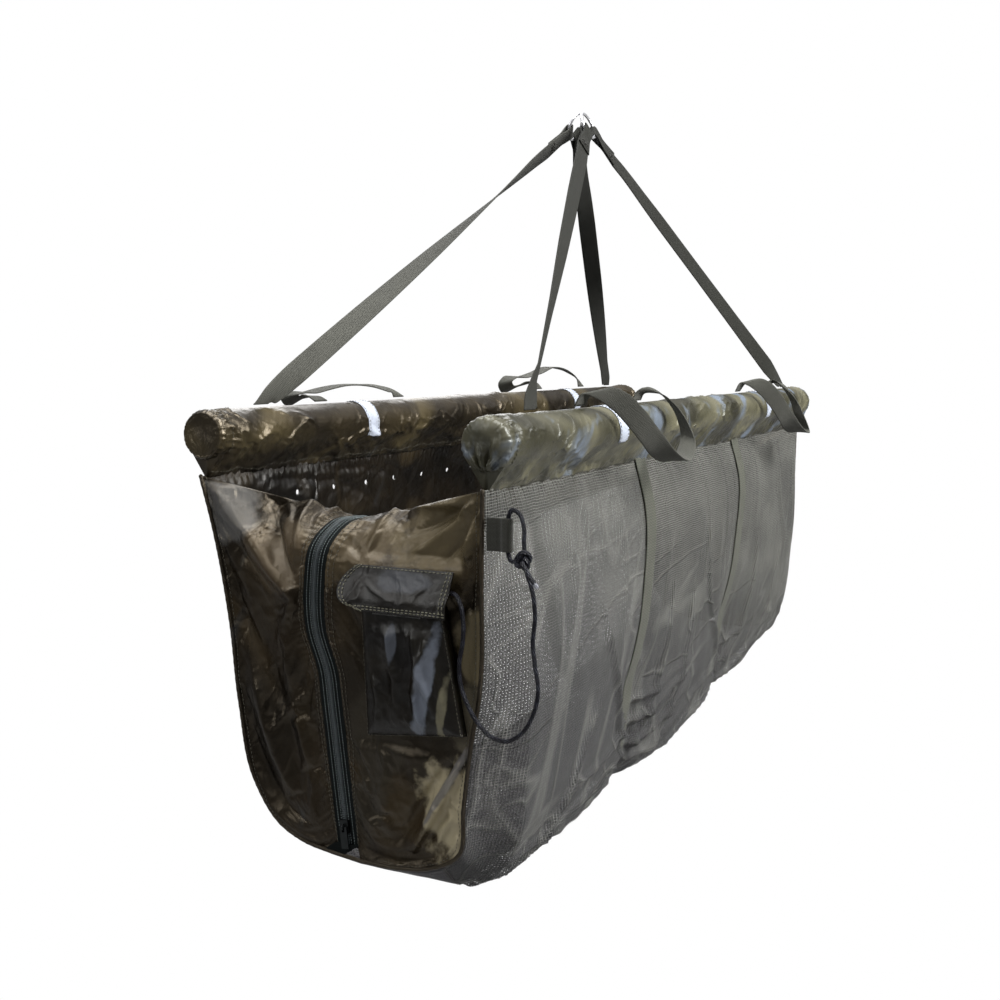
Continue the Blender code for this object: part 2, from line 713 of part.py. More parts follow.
def build_handles(finishes):
    """Four carrying handles that fall outward over their floats."""
    for end_name, end in ENDS.items():
        for side_name, side in SIDES.items():
            foot_height = FLOAT_TOP - HOOK_HEIGHT
            axis_point = Vector((end * HANDLE_STATION, side * HALF_SPACING, foot_height))
            pivot = make_pivot(f"{side_name}_{end_name}_handle_pivot", axis_point)
            if side_name == "right":
                reach = REAR_HANDLE_REACH if end_name == "rear" else 1
                rise, plan = 1, RIGHT_HANDLE
            else:
                front = end_name == "front"
                reach = FRONT_HANDLE_REACH if front else 1
                rise, plan = FRONT_HANDLE_RISE if front else 1, LEFT_HANDLE
            route = [
                (x * (reach if abs(x) > 0.1 else 1), out, up * rise, *across)
                for (x, out, up), across in plan
            ]
            track = smooth_along(route, np.linspace(0, 1, 27))
            centres, acrosses = [], []
            for x, out, up, *wide in track:
                offset = Vector((x, side * out, up + HANDLE_FOOT + WEBBING_THICKNESS / 2))
                centres.append(axis_point + offset)
                acrosses.append(Vector((wide[0], side * wide[1], wide[2])).normalized())
            make_strip(
                f"{side_name}_{end_name}_handle",
                centres,
                acrosses,
                [WEBBING_WIDTH] * len(centres),
                WEBBING_THICKNESS,
                finishes["webbing"],
                pivot,
            )


# Turns of each lift strap about its own length, in degrees, at these shares of its run from the
# float. Zero lies in the plane of the strap pair, and 90 across it.
TURN_SHARES = (0, 0.1, 0.3, 0.5, 0.7, 0.85, 1)
STRAP_TURNS = {
    ("left", "front"): (180, 128, 100, 73, 42, 15, 0),
    ("right", "front"): (0, 38, 28, 12, 2, 0, 0),
    ("left", "rear"): (0, 4, -22, -48, -42, -16, 0),
    ("right", "rear"): (0, -37, -27, -21, -18, -8, 0),
}


def build_lift_straps(finishes):
    """Two pairs of lift straps, each pair sewn through its own weigh ring."""
    wire_gap = RING_WIRE + CLEARANCE + WEBBING_THICKNESS / 2
    for side_name, side in SIDES.items():
        hinge = Vector((0, side * HALF_SPACING, FLOAT_TOP - HOOK_HEIGHT))
        pivot = make_pivot(f"{side_name}_lift_pivot", hinge)
        ring_top = Vector((0, side * RING_APART, 0))
        rise = (ring_top - hinge).normalized()
        normal = Vector((side, 0, 0)).cross(rise)
        centre = ring_top - rise * (RING_RADIUS - RING_WIRE)
        bpy.ops.mesh.primitive_torus_add(
            major_radius=RING_RADIUS, minor_radius=RING_WIRE, major_segments=32, minor_segments=8
        )
        ring = bpy.context.object
        mesh = ring.data
        bpy.data.objects.remove(ring)
        along_floats = Vector((1, 0, 0))
        turn = Matrix((along_floats, rise, along_floats.cross(rise))).transposed()
        mesh.transform(Matrix.Translation(centre) @ turn.to_4x4())
        place(f"{side_name}_weigh_ring", mesh, finishes["chrome"], pivot)

        for end_name, end in ENDS.items():
            anchor = hinge + Vector((end * ANCHOR_STATION, 0, WEBBING_THICKNESS))
            along = (centre - anchor).normalized()
            flat = normal.cross(along).normalized()
            run = (centre - anchor).length - RING_RADIUS
            far = run + RING_WIRE + LOOP_SLACK
            half_gap = WEBBING_THICKNESS / 2 + CLEARANCE / 2
            meet = run - STRAP_OVERLAP
            line = [(0, 0), (STRAP_FOOT, 0)]
            line += [(d, 0) for d in np.linspace(TURN_START, meet - STRAP_FOOT, 8)]
            line += [(meet, half_gap), (run - 2 * LOOP_REACH, half_gap)]
            line += [(run - LOOP_REACH, 1.4 * half_gap), (run - LOOP_REACH / 3, wire_gap)]
            line += [(far - LOOP_TURN, wire_gap), (far, 0.7 * wire_gap), (far + LOOP_TURN / 2, 0)]
            line += [(d, -off) for d, off in line[:-8:-1] if off > 0]
            line[-1] = (meet + CLEARANCE, -half_gap)
            turns = STRAP_TURNS[(side_name, end_name)]
            centres, acrosses, widths = [], [], []
            for distance, off in line:
                angle = math.radians(np.interp(distance / run, TURN_SHARES, turns))
                wide = flat * math.cos(angle) + normal * math.sin(angle)
                narrows = (meet, run - LOOP_REACH)
                width = np.interp(distance, narrows, (WEBBING_WIDTH, STRAP_AT_RING))
                if distance == 0:
                    wide = Vector((math.copysign(1, flat.x * math.cos(angle)), 0, 0))
                    width = WEBBING_WIDTH / abs(rise.dot(along))
                centres.append(anchor + along * distance + normal * off)
                acrosses.append(wide)
                widths.append(width)
            name = f"{side_name}_{end_name}_lift_strap"
            make_strip(
                name, centres, acrosses, widths, WEBBING_THICKNESS, finishes["webbing"], pivot
            )


def pouch_space_outline():
    """The inside of the pouch seen from the front, carried on above its mouth."""
    beyond = 3 * FLAP_WIDTH
    top_left, low_left, low_right, top_right = (Vector(corner) for corner in POUCH_CORNERS)
    left = (top_left - low_left).normalized()
    right = (top_right - low_right).normalized()
    inward = (low_right - low_left).normalized() * POUCH_WALL
    low_left += inward + left * POUCH_WALL
    low_right += right * POUCH_WALL - inward
    return [low_left, low_right, low_right + right * beyond, low_left + left * beyond]


def pocket_frame():
    """The pocket's place on the front panel: across, up and outward from its top left corner."""
    corner = Vector((-END_X - CLOTH / 2 - CLEARANCE, -POCKET_INSET, -POUCH_DROP - HOOK_HEIGHT))
    turn = Matrix((Vector((0, -1, 0)), Vector((0, 0, 1)), Vector((-1, 0, 0)))).transposed()
    return Matrix.Translation(corner) @ turn.to_4x4()


def build_pocket(finishes):
    """The cord pocket: an open pouch with a flap over it that hinges at its sewn top edge."""
    frame = pocket_frame()
    camouflage = finishes["camouflage"]
    pouch = make_plate("pocket_pouch", [POUCH_CORNERS], 0, POUCH_DEPTH, frame, camouflage)
    back, front = -POUCH_DEPTH, POUCH_DEPTH - POUCH_WALL
    inside = [pouch_space_outline()]
    cutter = make_plate("pouch_space", inside, back, front, frame, None, cutter=True)
    cut(pouch, cutter)

    loop_front = POUCH_DEPTH + CLEARANCE + PATCH_THICKNESS
    hook_front = loop_front + CLEARANCE + PATCH_THICKNESS
    patch = [(PATCH_INSET, -PATCH_THICKNESS), (PATCH_INSET, -PATCH_HEIGHT - PATCH_THICKNESS)]
    patch += [(u + PATCH_WIDTH, v) for u, v in patch[::-1]]
    start = POUCH_DEPTH + CLEARANCE
    make_plate("pouch_loop_patch", [patch], start, loop_front, frame, finishes["patch"])

    hinge_up = POUCH_DROP - FLAP_HINGE_DROP
    hinge = frame @ Vector((0, hinge_up, CLOTH))
    pivot = make_pivot("pocket_flap_pivot", hinge)
    start = loop_front + CLEARANCE
    make_plate("flap_hook_patch", [patch], start, hook_front, frame, finishes["patch"], pivot)

    front = hook_front + CLEARANCE + CLOTH / 2
    drop = FLAP_LENGTH - front / 3
    rows = []
    for down, out in ((0, CLOTH), (0.28, 0.55 * front), (0.6, front), (0.8, front), (1, front)):
        left = FLAP_ROUNDING * (2 * down - 1) ** 2 - FLAP_REACH
        if down == 1:
            left += FLAP_CORNER
        across = [left, *np.linspace(-FLAP_REACH, FLAP_WIDTH - FLAP_REACH, 7)[1:]]
        rows.append([frame @ Vector((u, hinge_up - drop * down, out)) for u in across])
    make_shell("pocket_flap", rows, CLOTH, camouflage, pivot)


def build_cord_tab(finishes):
    """A folded webbing tab at the front right corner, with an eye for the cord at its end."""
    eye = CORD_RADIUS + 2 * CLEARANCE + WEBBING_THICKNESS / 2
    half = WEBBING_THICKNESS / 2 + CLEARANCE / 2
    plan = [(0, half), (0.4, half), (0.66, half), (0.8, 0.75 * eye)]
    plan = [(TAB_LENGTH * a, b) for a, b in plan]
    bend = [(TAB_LENGTH + eye * math.cos(a), eye * math.sin(a)) for a in np.linspace(1.9, -1.9, 9)]
    plan += bend + [(a, -b) for a, b in plan[::-1]]
    middle_z = CORD_LOOP[6][2] - HOOK_HEIGHT
    middle_x = -END_X - CORD_LOOP[6][0]
    base = Vector((middle_x, CORD_LOOP[6][1] + TAB_LENGTH, middle_z))
    centres = [base + Vector((b, -a, 0)) for a, b in plan]
    count = len(centres)
    make_strip(
        "cord_tab",
        centres,
        [Vector((0, 0, 1))] * count,
        [TAB_HEIGHT] * count,
        WEBBING_THICKNESS,
        finishes["webbing"],
    )


def corner_place(point):
    """World place of a cord point that is given from the front face and the float's centre."""
    forward, across, up = point
    return Vector((-END_X - forward, across, up - HOOK_HEIGHT))


def knot_exit(direction):
    """The place where a cord leaves the knot, square to its surface, and a point further out."""
    away = Vector(direction).normalized()
    reach = 1 / Vector([a / size for a, size in zip(away, KNOT_SIZE, strict=True)]).length
    middle = Vector(KNOT_PLACE)
    return middle + away * (reach + 2 * CLEARANCE), middle + away * (reach + CORD_RADIUS)


def hank_line():
    """The stored cord: an oblong spiral in, a climb to the second layer, and a spiral out."""
    outer = HANK_INNER_RADIUS + HANK_TURNS * HANK_PITCH
    half = HANK_STRAIGHT / 2
    run_points = LOOP_POINTS / 2 - ARC_POINTS
    points = []
    for step in range(2 * HANK_TURNS * LOOP_POINTS + 1):
        turns = step / LOOP_POINTS
        radius = outer - HANK_PITCH * (turns if turns < HANK_TURNS else 2 * HANK_TURNS - turns)
        climb = min(max((turns - HANK_TURNS) * 2 + 0.5, 0), 1)
        layer = HANK_PITCH * (climb * climb * (3 - 2 * climb) - 0.5)
        lower, within = divmod((step + ARC_POINTS) % LOOP_POINTS, LOOP_POINTS // 2)
        flip = -1 if lower else 1
        if within <= ARC_POINTS:
            angle = math.pi * within / ARC_POINTS
            u, v = -radius * math.cos(angle), half + radius * math.sin(angle)
        else:
            u, v = radius, half - HANK_STRAIGHT * (within - ARC_POINTS) / run_points
        points.append(Vector((flip * u, flip * v, layer)))
    start = points[0] + Vector((0, 2.5 * CORD_RADIUS, 0))
    end = points[-1] - Vector((0, 2 * CORD_RADIUS, 0))
    return [start, *points, end]


def build_cord(finishes):
    """The retention cord: tied to the tab, across the corner, and stored in the pocket."""
    cord = finishes["cord"]
    line = hank_line()
    least = min(
        (a - b).length
        for i, a in enumerate(line)
        for b in line[i + 6 :]
    )
    print(f"hank: least gap to itself {(least - 2 * CORD_RADIUS) * 1000:.2f} mm")
    home = pocket_frame() @ Matrix.Translation((*HANK_MIDDLE, (POUCH_DEPTH - POUCH_WALL) / 2))
    placed = [home @ point for point in line]
    make_tube("cord_hank", placed, CORD_RADIUS, 1, cord)

    gap = Vector((0, 0, CLEARANCE))
    route = [corner_place(point) for point in [*knot_exit(CORD_EXIT), *CORD_ROUTE]]
    mouth = placed[0] + Vector((0, 0, 0.016))
    route += [mouth, placed[0] + Vector((0, 0, 2 * CORD_RADIUS)), placed[0] + gap]
    line = smooth_along(route, np.linspace(0, 1, 56))
    make_tube("retention_cord", line, CORD_RADIUS, 2, cord)

    first, last = (knot_exit(direction) for direction in LOOP_EXITS)
    loop = [corner_place(p) for p in [*first, *CORD_LOOP, *last[::-1]]]
    make_tube("cord_loop", smooth_along(loop, np.linspace(0, 1, 22)), CORD_RADIUS, 2, cord)
    tail = [corner_place(p) for p in [*knot_exit(TAIL_EXIT), *CORD_TAIL]]
    make_tube("cord_tail", smooth_along(tail, np.linspace(0, 1, 6)), CORD_RADIUS, 2, cord)
    knot = bmesh.new()
    shape = Matrix.Translation(corner_place(KNOT_PLACE)) @ Matrix.Diagonal((*KNOT_SIZE, 1))
    bmesh.ops.create_uvsphere(knot, u_segments=14, v_segments=8, radius=1, matrix=shape)
    mesh = bpy.data.meshes.new("cord_knot")
    knot.to_mesh(mesh)
    knot.free()
    place("cord_knot", mesh, cord)


def main():
    fresh_scene()
    finishes = {
        "foam": make_material("foam", (0.05, 0.05, 0.05), 0.9),
        "camouflage": make_material("camouflage", (0.045, 0.04, 0.028), 0.35),
        "mesh": make_material("mesh", (0.16, 0.16, 0.145), 0.8),
        "floor": make_material("floor", (0.1, 0.095, 0.1), 0.8),
        "webbing": make_material("webbing", (0.11, 0.11, 0.09), 0.75),
        "pale_webbing": make_material("pale_webbing", (0.15, 0.15, 0.12), 0.75),
        "reflective": make_material("reflective", (0.5, 0.56, 0.66), 0.3),
        "chrome": make_material("chrome", (0.8, 0.8, 0.82), 0.1, 1.0),
        "metal": make_material("metal", (0.2, 0.21, 0.21), 0.35, 1.0),
        "zip": make_material("zip", (0.02, 0.03, 0.03), 0.5),
        "tape": make_material("tape", (0.03, 0.06, 0.055), 0.7),
        "patch": make_material("patch", (0.03, 0.03, 0.025), 0.95),
        "cord": make_material("cord", (0.012, 0.013, 0.022), 0.6),
    }
    build_floats(finishes)
    build_bag(finishes)
    build_belly_straps(finishes)
    build_ends(finishes)
    build_sliders(finishes)
    build_handles(finishes)
    build_lift_straps(finishes)
    build_pocket(finishes)
    build_cord_tab(finishes)
    build_cord(finishes)


main()
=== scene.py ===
import math

import bpy
import numpy as np
from mathutils import Matrix, Vector


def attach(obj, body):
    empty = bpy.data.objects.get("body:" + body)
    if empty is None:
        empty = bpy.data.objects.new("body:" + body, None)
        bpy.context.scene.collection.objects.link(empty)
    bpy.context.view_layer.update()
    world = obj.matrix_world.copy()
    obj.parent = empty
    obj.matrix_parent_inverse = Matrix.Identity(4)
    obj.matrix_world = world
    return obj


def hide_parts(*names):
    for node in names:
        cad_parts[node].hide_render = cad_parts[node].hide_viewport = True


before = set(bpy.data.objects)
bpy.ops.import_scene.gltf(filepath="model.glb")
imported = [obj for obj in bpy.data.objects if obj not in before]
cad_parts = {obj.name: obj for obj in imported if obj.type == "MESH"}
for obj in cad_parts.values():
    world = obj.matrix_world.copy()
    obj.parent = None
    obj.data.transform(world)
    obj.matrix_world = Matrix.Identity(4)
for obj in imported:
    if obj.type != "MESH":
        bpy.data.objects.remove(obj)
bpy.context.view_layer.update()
print("frame loaded with", len(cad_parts), "nodes")

# The sling's main sizes in metres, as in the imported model. Heights of floats and bag are taken
# from the float's centre line, which lies hookHeight under the hook point.
sling = {
    "floatLength": 1.2,
    "halfSpacing": 0.157,
    "hookHeight": 0.396,
    "floatTop": 0.0258,
    "wallTop": -0.0403,
    "endX": 0.6,
    "cornerDepth": 0.045,
    "endDepth": 0.409,
    "middleDepth": 0.475,
    "skirtDepth": 0.14,
    "seamGap": 0.0012,
    "cloth": 0.0014,
}
foldX = sling["endX"] - sling["cornerDepth"]
ends = {"front": -1, "rear": 1}
sides = {"left": 1, "right": -1}


# the camera; the cords' route was measured against its view
shot = {
    "place": (-1.5706, -0.6538, -0.3186),
    "turn": 26.256,       # degrees from +X towards +Y
    "dip": 6.579,         # degrees below the horizon
    "lens": 44.72,
}


def makeCamera():
    turn, dip = math.radians(shot["turn"]), math.radians(shot["dip"])
    ahead = Vector((math.cos(turn) * math.cos(dip), math.sin(turn) * math.cos(dip), -math.sin(dip)))
    right = Vector((math.sin(turn), -math.cos(turn), 0))
    bpy.ops.object.camera_add(location=shot["place"])
    camera = bpy.context.object
    camera.name = "photoCamera"
    camera.data.lens = shot["lens"]
    camera.data.clip_start = 0.01
    facing = Matrix((right, right.cross(ahead), -ahead)).transposed().to_4x4()
    camera.matrix_world = Matrix.Translation(shot["place"]) @ facing
    bpy.context.scene.camera = camera


makeCamera()
print("camera set")


def walked(points):
    # distance walked along a line of points, from 0
    return np.concatenate([[0], np.cumsum(np.linalg.norm(np.diff(points, axis=0), axis=1))])


def lengthOf(points):
    return float(np.linalg.norm(np.diff(points, axis=0), axis=1).sum())


def smoothAlong(points, shares):
    # a smooth curve through the points, read at shares of its length; extra columns go along
    knots = np.array(points, float)
    steps = np.linalg.norm(np.diff(knots[:, :3], axis=0), axis=1)
    slopes = np.diff(knots, axis=0) / steps[:, None]
    before, after = steps[:-1, None], steps[1:, None]
    inner = (slopes[:-1] * after + slopes[1:] * before) / (before + after)
    tangents = np.vstack([slopes[:1], inner, slopes[-1:]])
    starts = walked(knots[:, :3])
    fine = np.linspace(0, starts[-1], 1200)
    span = np.clip(np.searchsorted(starts, fine, side="right") - 1, 0, len(steps) - 1)
    u = ((fine - starts[span]) / steps[span])[:, None]
    h = steps[span][:, None]
    curve = (
        (2 * u**3 - 3 * u**2 + 1) * knots[span]
        + (u**3 - 2 * u**2 + u) * h * tangents[span]
        + (3 * u**2 - 2 * u**3) * knots[span + 1]
        + (u**3 - u**2) * h * tangents[span + 1]
    )
    run = walked(curve[:, :3])
    wanted = np.array(shares) * run[-1]
    return np.stack([np.interp(wanted, run, column) for column in curve.T], axis=1)


def unit(vectors):
    return vectors / np.maximum(np.linalg.norm(vectors, axis=-1, keepdims=True), 1e-12)


def normalsOf(grid):
    return unit(np.cross(np.gradient(grid, axis=1), np.gradient(grid, axis=0)))


def outwards(grid, axis, sign):
    # the grid's normals, turned so that on the whole they point this way along an axis
    normals = normalsOf(grid)
    return normals * np.sign(np.mean(normals[..., axis]) * sign)


def smoothStep(values, low, high):
    t = np.clip((values - low) / (high - low), 0, 1)
    return t * t * (3 - 2 * t)


def cloudNoise(u, v, seed):
    # smooth noise of about -1 to 1 over a plane, one wave to each unit
    turns = np.random.default_rng(seed).uniform(0, 2 * np.pi, (64, 64))
    u, v = np.broadcast_arrays(np.asarray(u, float), np.asarray(v, float))
    cellU, cellV = np.floor(u).astype(int), np.floor(v).astype(int)
    restU, restV = u - cellU, v - cellV
    total = np.zeros(u.shape)
    for du in (0, 1):
        for dv in (0, 1):
            angle = turns[(cellU + du) % 64, (cellV + dv) % 64]
            lean = np.cos(angle) * (restU - du) + np.sin(angle) * (restV - dv)
            nearU, nearV = 1 - np.abs(restU - du), 1 - np.abs(restV - dv)
            fade = nearU**3 * (nearU * (nearU * 6 - 15) + 10)
            fade = fade * nearV**3 * (nearV * (nearV * 6 - 15) + 10)
            total += lean * fade
    return total * 1.7


def creaseNoise(u, v, seed, sharpness=1.6):
    # creased cloth: ridges that meet in points, from 0 in the hollows to 1 on the ridges
    bendU = u + 0.35 * cloudNoise(u * 0.8 + 5, v * 0.8, seed + 1)
    bendV = v + 0.35 * cloudNoise(u * 0.8, v * 0.8 + 9, seed + 2)
    large = 1 - np.abs(cloudNoise(bendU, bendV, seed))
    small = 1 - np.abs(cloudNoise(bendU * 2.1, bendV * 2.1, seed + 3))
    return np.clip(0.7 * large + 0.3 * small * large, 0, 1) ** sharpness


def foldField(u, v, folds):
    # raised folds along lines: points, half width and height of each, fading out at both ends
    total = np.zeros(u.shape)
    for points, width, height in folds:
        points = np.array(points, float)
        runs = walked(points)
        best = np.full(u.shape, 1e9)
        place = np.zeros(u.shape)
        for k in range(len(points) - 1):
            a, d = points[k], points[k + 1] - points[k]
            t = np.clip(((u - a[0]) * d[0] + (v - a[1]) * d[1]) / (d @ d), 0, 1)
            away = np.hypot(u - a[0] - t * d[0], v - a[1] - t * d[1])
            nearer = away < best
            best = np.where(nearer, away, best)
            place = np.where(nearer, (runs[k] + t * (runs[k + 1] - runs[k])) / runs[-1], place)
        fade = np.clip(4 * place * (1 - place), 0, 1) ** 0.6
        total += height * fade * np.exp(-((best / width) ** 2))
    return total


def refine(grid, rows, columns):
    # a finer grid through the same points
    def along(values, count):
        last = len(values) - 1
        place = np.linspace(0, last, count)
        k = np.clip(place.astype(int), 0, last - 1)
        t = (place - k).reshape(-1, *[1] * (values.ndim - 1))
        p0, p1 = values[np.maximum(k - 1, 0)], values[k]
        p2, p3 = values[k + 1], values[np.minimum(k + 2, last)]
        return p1 + 0.5 * t * (p2 - p0 + t * (2 * p0 - 5 * p1 + 4 * p2 - p3 + t * (3 * (p1 - p2) + p3 - p0)))
    return along(along(grid, rows).swapaxes(0, 1), columns).swapaxes(0, 1)


clothSetup = {"quality": 5, "mass": 0.15, "stiffness": 20.0, "shearShare": 0.4, "damping": 8, "airDamping": 3}


def settle(grid, held, slack, frames, bend, gravity, reach, pressure=0.0):
    # Blender's cloth lets a slightly too large cloth buckle between its held points; the
    # result is read back as numbers, and no point moves further than reach
    rows, columns = grid.shape[:2]
    deselectAll()
    bpy.ops.mesh.primitive_grid_add(x_subdivisions=columns - 1, y_subdivisions=rows - 1, size=1)
    piece = bpy.context.object
    piece.data.vertices.foreach_set("co", grid.reshape(-1).astype(np.float32))
    group = piece.vertex_groups.new(name="held")
    group.add([int(i) for i in np.flatnonzero(held.reshape(-1))], 1.0, "REPLACE")
    cloth = piece.modifiers.new("cloth", "CLOTH")
    setup = cloth.settings
    setup.vertex_group_mass = "held"
    setup.quality = clothSetup["quality"]
    setup.mass = clothSetup["mass"]
    setup.tension_stiffness = setup.compression_stiffness = clothSetup["stiffness"]
    setup.shear_stiffness = clothSetup["stiffness"] * clothSetup["shearShare"]
    setup.bending_stiffness = bend
    setup.tension_damping = setup.compression_damping = setup.shear_damping = clothSetup["damping"]
    setup.air_damping = clothSetup["airDamping"]
    setup.shrink_min = -slack
    setup.effector_weights.gravity = gravity
    if pressure:
        setup.use_pressure = True
        setup.uniform_pressure_force = pressure
    cloth.collision_settings.use_collision = False
    cloth.point_cache.frame_end = frames
    for step in range(1, frames + 1):
        bpy.context.scene.frame_set(step)
    bpy.ops.object.modifier_apply(modifier=cloth.name)
    places = np.zeros(rows * columns * 3, np.float32)
    piece.data.vertices.foreach_get("co", places)
    bpy.data.objects.remove(piece)
    bpy.context.scene.frame_set(1)
    moved = places.reshape(grid.shape) - grid
    far = np.linalg.norm(moved, axis=2, keepdims=True)
    return grid + moved * np.minimum(1, reach / np.maximum(far, 1e-9))


middleSection = (
    [(0.0, 0.0), (0.015, 0.13), (0.016, 0.34), (0.011, 0.58), (-0.002, 0.77)],
    [(0.84, 0.91), (0.53, 0.98), (0.0, 1.0)],
)
plainSection = (
    [(-0.001, 0.0), (-0.013, 0.12), (-0.033, 0.39), (-0.042, 0.61), (-0.059, 0.82)],
    [(0.42, 0.94), (0.21, 0.975), (0.0, 1.0)],
)
endSections = {
    (-1, -1): (
        [(0.0, 0.0), (0.013, 0.17), (0.025, 0.43), (0.025, 0.72), (0.014, 0.92)],
        [(0.9, 1.03), (0.45, 1.05), (0.0, 1.04)],
    ),
    (1, -1): (
        [(0.0, 0.0), (0.011, 0.12), (0.012, 0.3), (0.007, 0.6), (-0.006, 0.84)],
        [(0.84, 0.96), (0.45, 1.01), (0.0, 1.02)],
    ),
    (-1, 1): plainSection,
    (1, 1): plainSection,
}
panelOutlines = {
    -1: (
        [(0.001, 0.0), (0.0, 0.2), (-0.002, 0.5), (-0.012, 0.65), (-0.019, 0.8), (-0.024, 0.92)],
        [(0.64, 0.972), (0.45, 0.986), (0.16, 0.988)],
    ),
    1: (
        [(-0.001, 0.0), (-0.014, 0.12), (-0.034, 0.39), (-0.043, 0.61), (-0.06, 0.82)],
        [(0.42, 0.93), (0.26, 0.962), (0.03, 0.98)],
    ),
}
zipLine = [
    (0.072, 0.012, 0.11),
    (0.03, 0.014, 0.115),
    (0.004, 0.018, 0.165),
    (0.0, 0.023, 0.27),
    (0.0, 0.022, 0.38),
    (0.0, 0.008, 0.5),
    (0.0, 0.0049, 0.57),
    (0.0, -0.0121, 0.955),
]
pinch = {"station": 0.2, "reach": 0.06, "shares": (0.1, 0.35, 0.6, 0.8, 1), "depths": (0, 0.012, 0.03, 0.024, 0)}


def belowFloat(share, depth):
    return sling["wallTop"] - share * (depth + sling["wallTop"])


def halfSection(section, depth, shares):
    wall, floor = section
    points = [(sling["halfSpacing"] + out, belowFloat(down, depth)) for out, down in wall]
    points += [(sling["halfSpacing"] * out, belowFloat(down, depth)) for out, down in floor]
    return smoothAlong(points, shares)


girth = lengthOf(halfSection(middleSection, sling["middleDepth"], np.linspace(0, 1, 60)))
skirtShare = sling["skirtDepth"] / girth
floorShare = 0.8


def panelEdge(end, side, shares):
    out, up = halfSection(panelOutlines[side], sling["endDepth"], shares).T
    return np.stack([np.full(len(out), end * sling["endX"]), side * out, up - sling["hookHeight"]], axis=1)


def squareTo(edge, side):
    # in the end's plane, square to its outline
    along = np.gradient(edge, axis=0)
    return unit(np.stack([0 * along[:, 0], -along[:, 2], along[:, 1]], axis=1)) * side


def wallGrid(side, stations, shares):
    # points of one side of the bag, rows down it and columns along it
    shares = np.asarray(shares, float)
    middle = halfSection(middleSection, sling["middleDepth"], shares)
    atEnd = {end: halfSection(endSections[(end, side)], sling["endDepth"], shares) for end in (-1, 1)}
    edges = {end: panelEdge(end, side, shares) for end in (-1, 1)}
    grid = np.zeros((len(shares), len(stations), 3))
    for column, x in enumerate(stations):
        end = -1 if x < 0 else 1
        within = min(max(x, -foldX), foldX)
        weight = math.cos(math.pi * within / sling["floatLength"]) ** 2
        out, up = (atEnd[end] * (1 - weight) + middle * weight).T
        near = math.exp(-(((abs(within) - pinch["station"]) / pinch["reach"]) ** 2))
        drawn = near * np.interp(shares, pinch["shares"], pinch["depths"])
        out = out - 2 * drawn * np.minimum(shares, 1 - shares)
        up = up + drawn * shares**3 - sling["hookHeight"]
        points = np.stack([np.full(len(shares), within), side * out, up], axis=1)
        if abs(x) > foldX:
            toEdge = (abs(x) - foldX) / sling["cornerDepth"]
            edge = edges[end]
            square = squareTo(edge, side)
            points = points * (1 - toEdge) + (edge + square * sling["seamGap"]) * toEdge
        grid[:, column] = points
    return grid


def zipPoints(end, shares):
    line = [
        (end * (sling["endX"] - inward), across, belowFloat(down, sling["endDepth"]) - sling["hookHeight"])
        for inward, across, down in zipLine
    ]
    return smoothAlong(line, shares)


class Wire:
    def __init__(self, finish, socket):
        self.finish, self.socket = finish, socket

    def maths(self, operation, *others):
        values = dict(enumerate((self, *others)))
        return self.finish.node("ShaderNodeMath", {"operation": operation}, values)

    def flipped(self, operation, other):
        return self.finish.node("ShaderNodeMath", {"operation": operation}, {0: other, 1: self})

    def __add__(self, other):
        return self.maths("ADD", other)

    def __radd__(self, other):
        return self.maths("ADD", other)

    def __sub__(self, other):
        return self.maths("SUBTRACT", other)

    def __rsub__(self, other):
        return self.flipped("SUBTRACT", other)

    def __mul__(self, other):
        return self.maths("MULTIPLY", other)

    def __rmul__(self, other):
        return self.maths("MULTIPLY", other)

    def __truediv__(self, other):
        return self.maths("DIVIDE", other)

    def fract(self):
        return self.maths("FRACT")

    def size(self):
        return self.maths("ABSOLUTE")

    def sine(self):
        return self.maths("SINE")

    def over(self, edge):
        return self.maths("GREATER_THAN", edge)

    def ramp(self, low, high):
        settings = {"interpolation_type": "SMOOTHSTEP"}
        return self.finish.node("ShaderNodeMapRange", settings, {0: self, 1: low, 2: high})


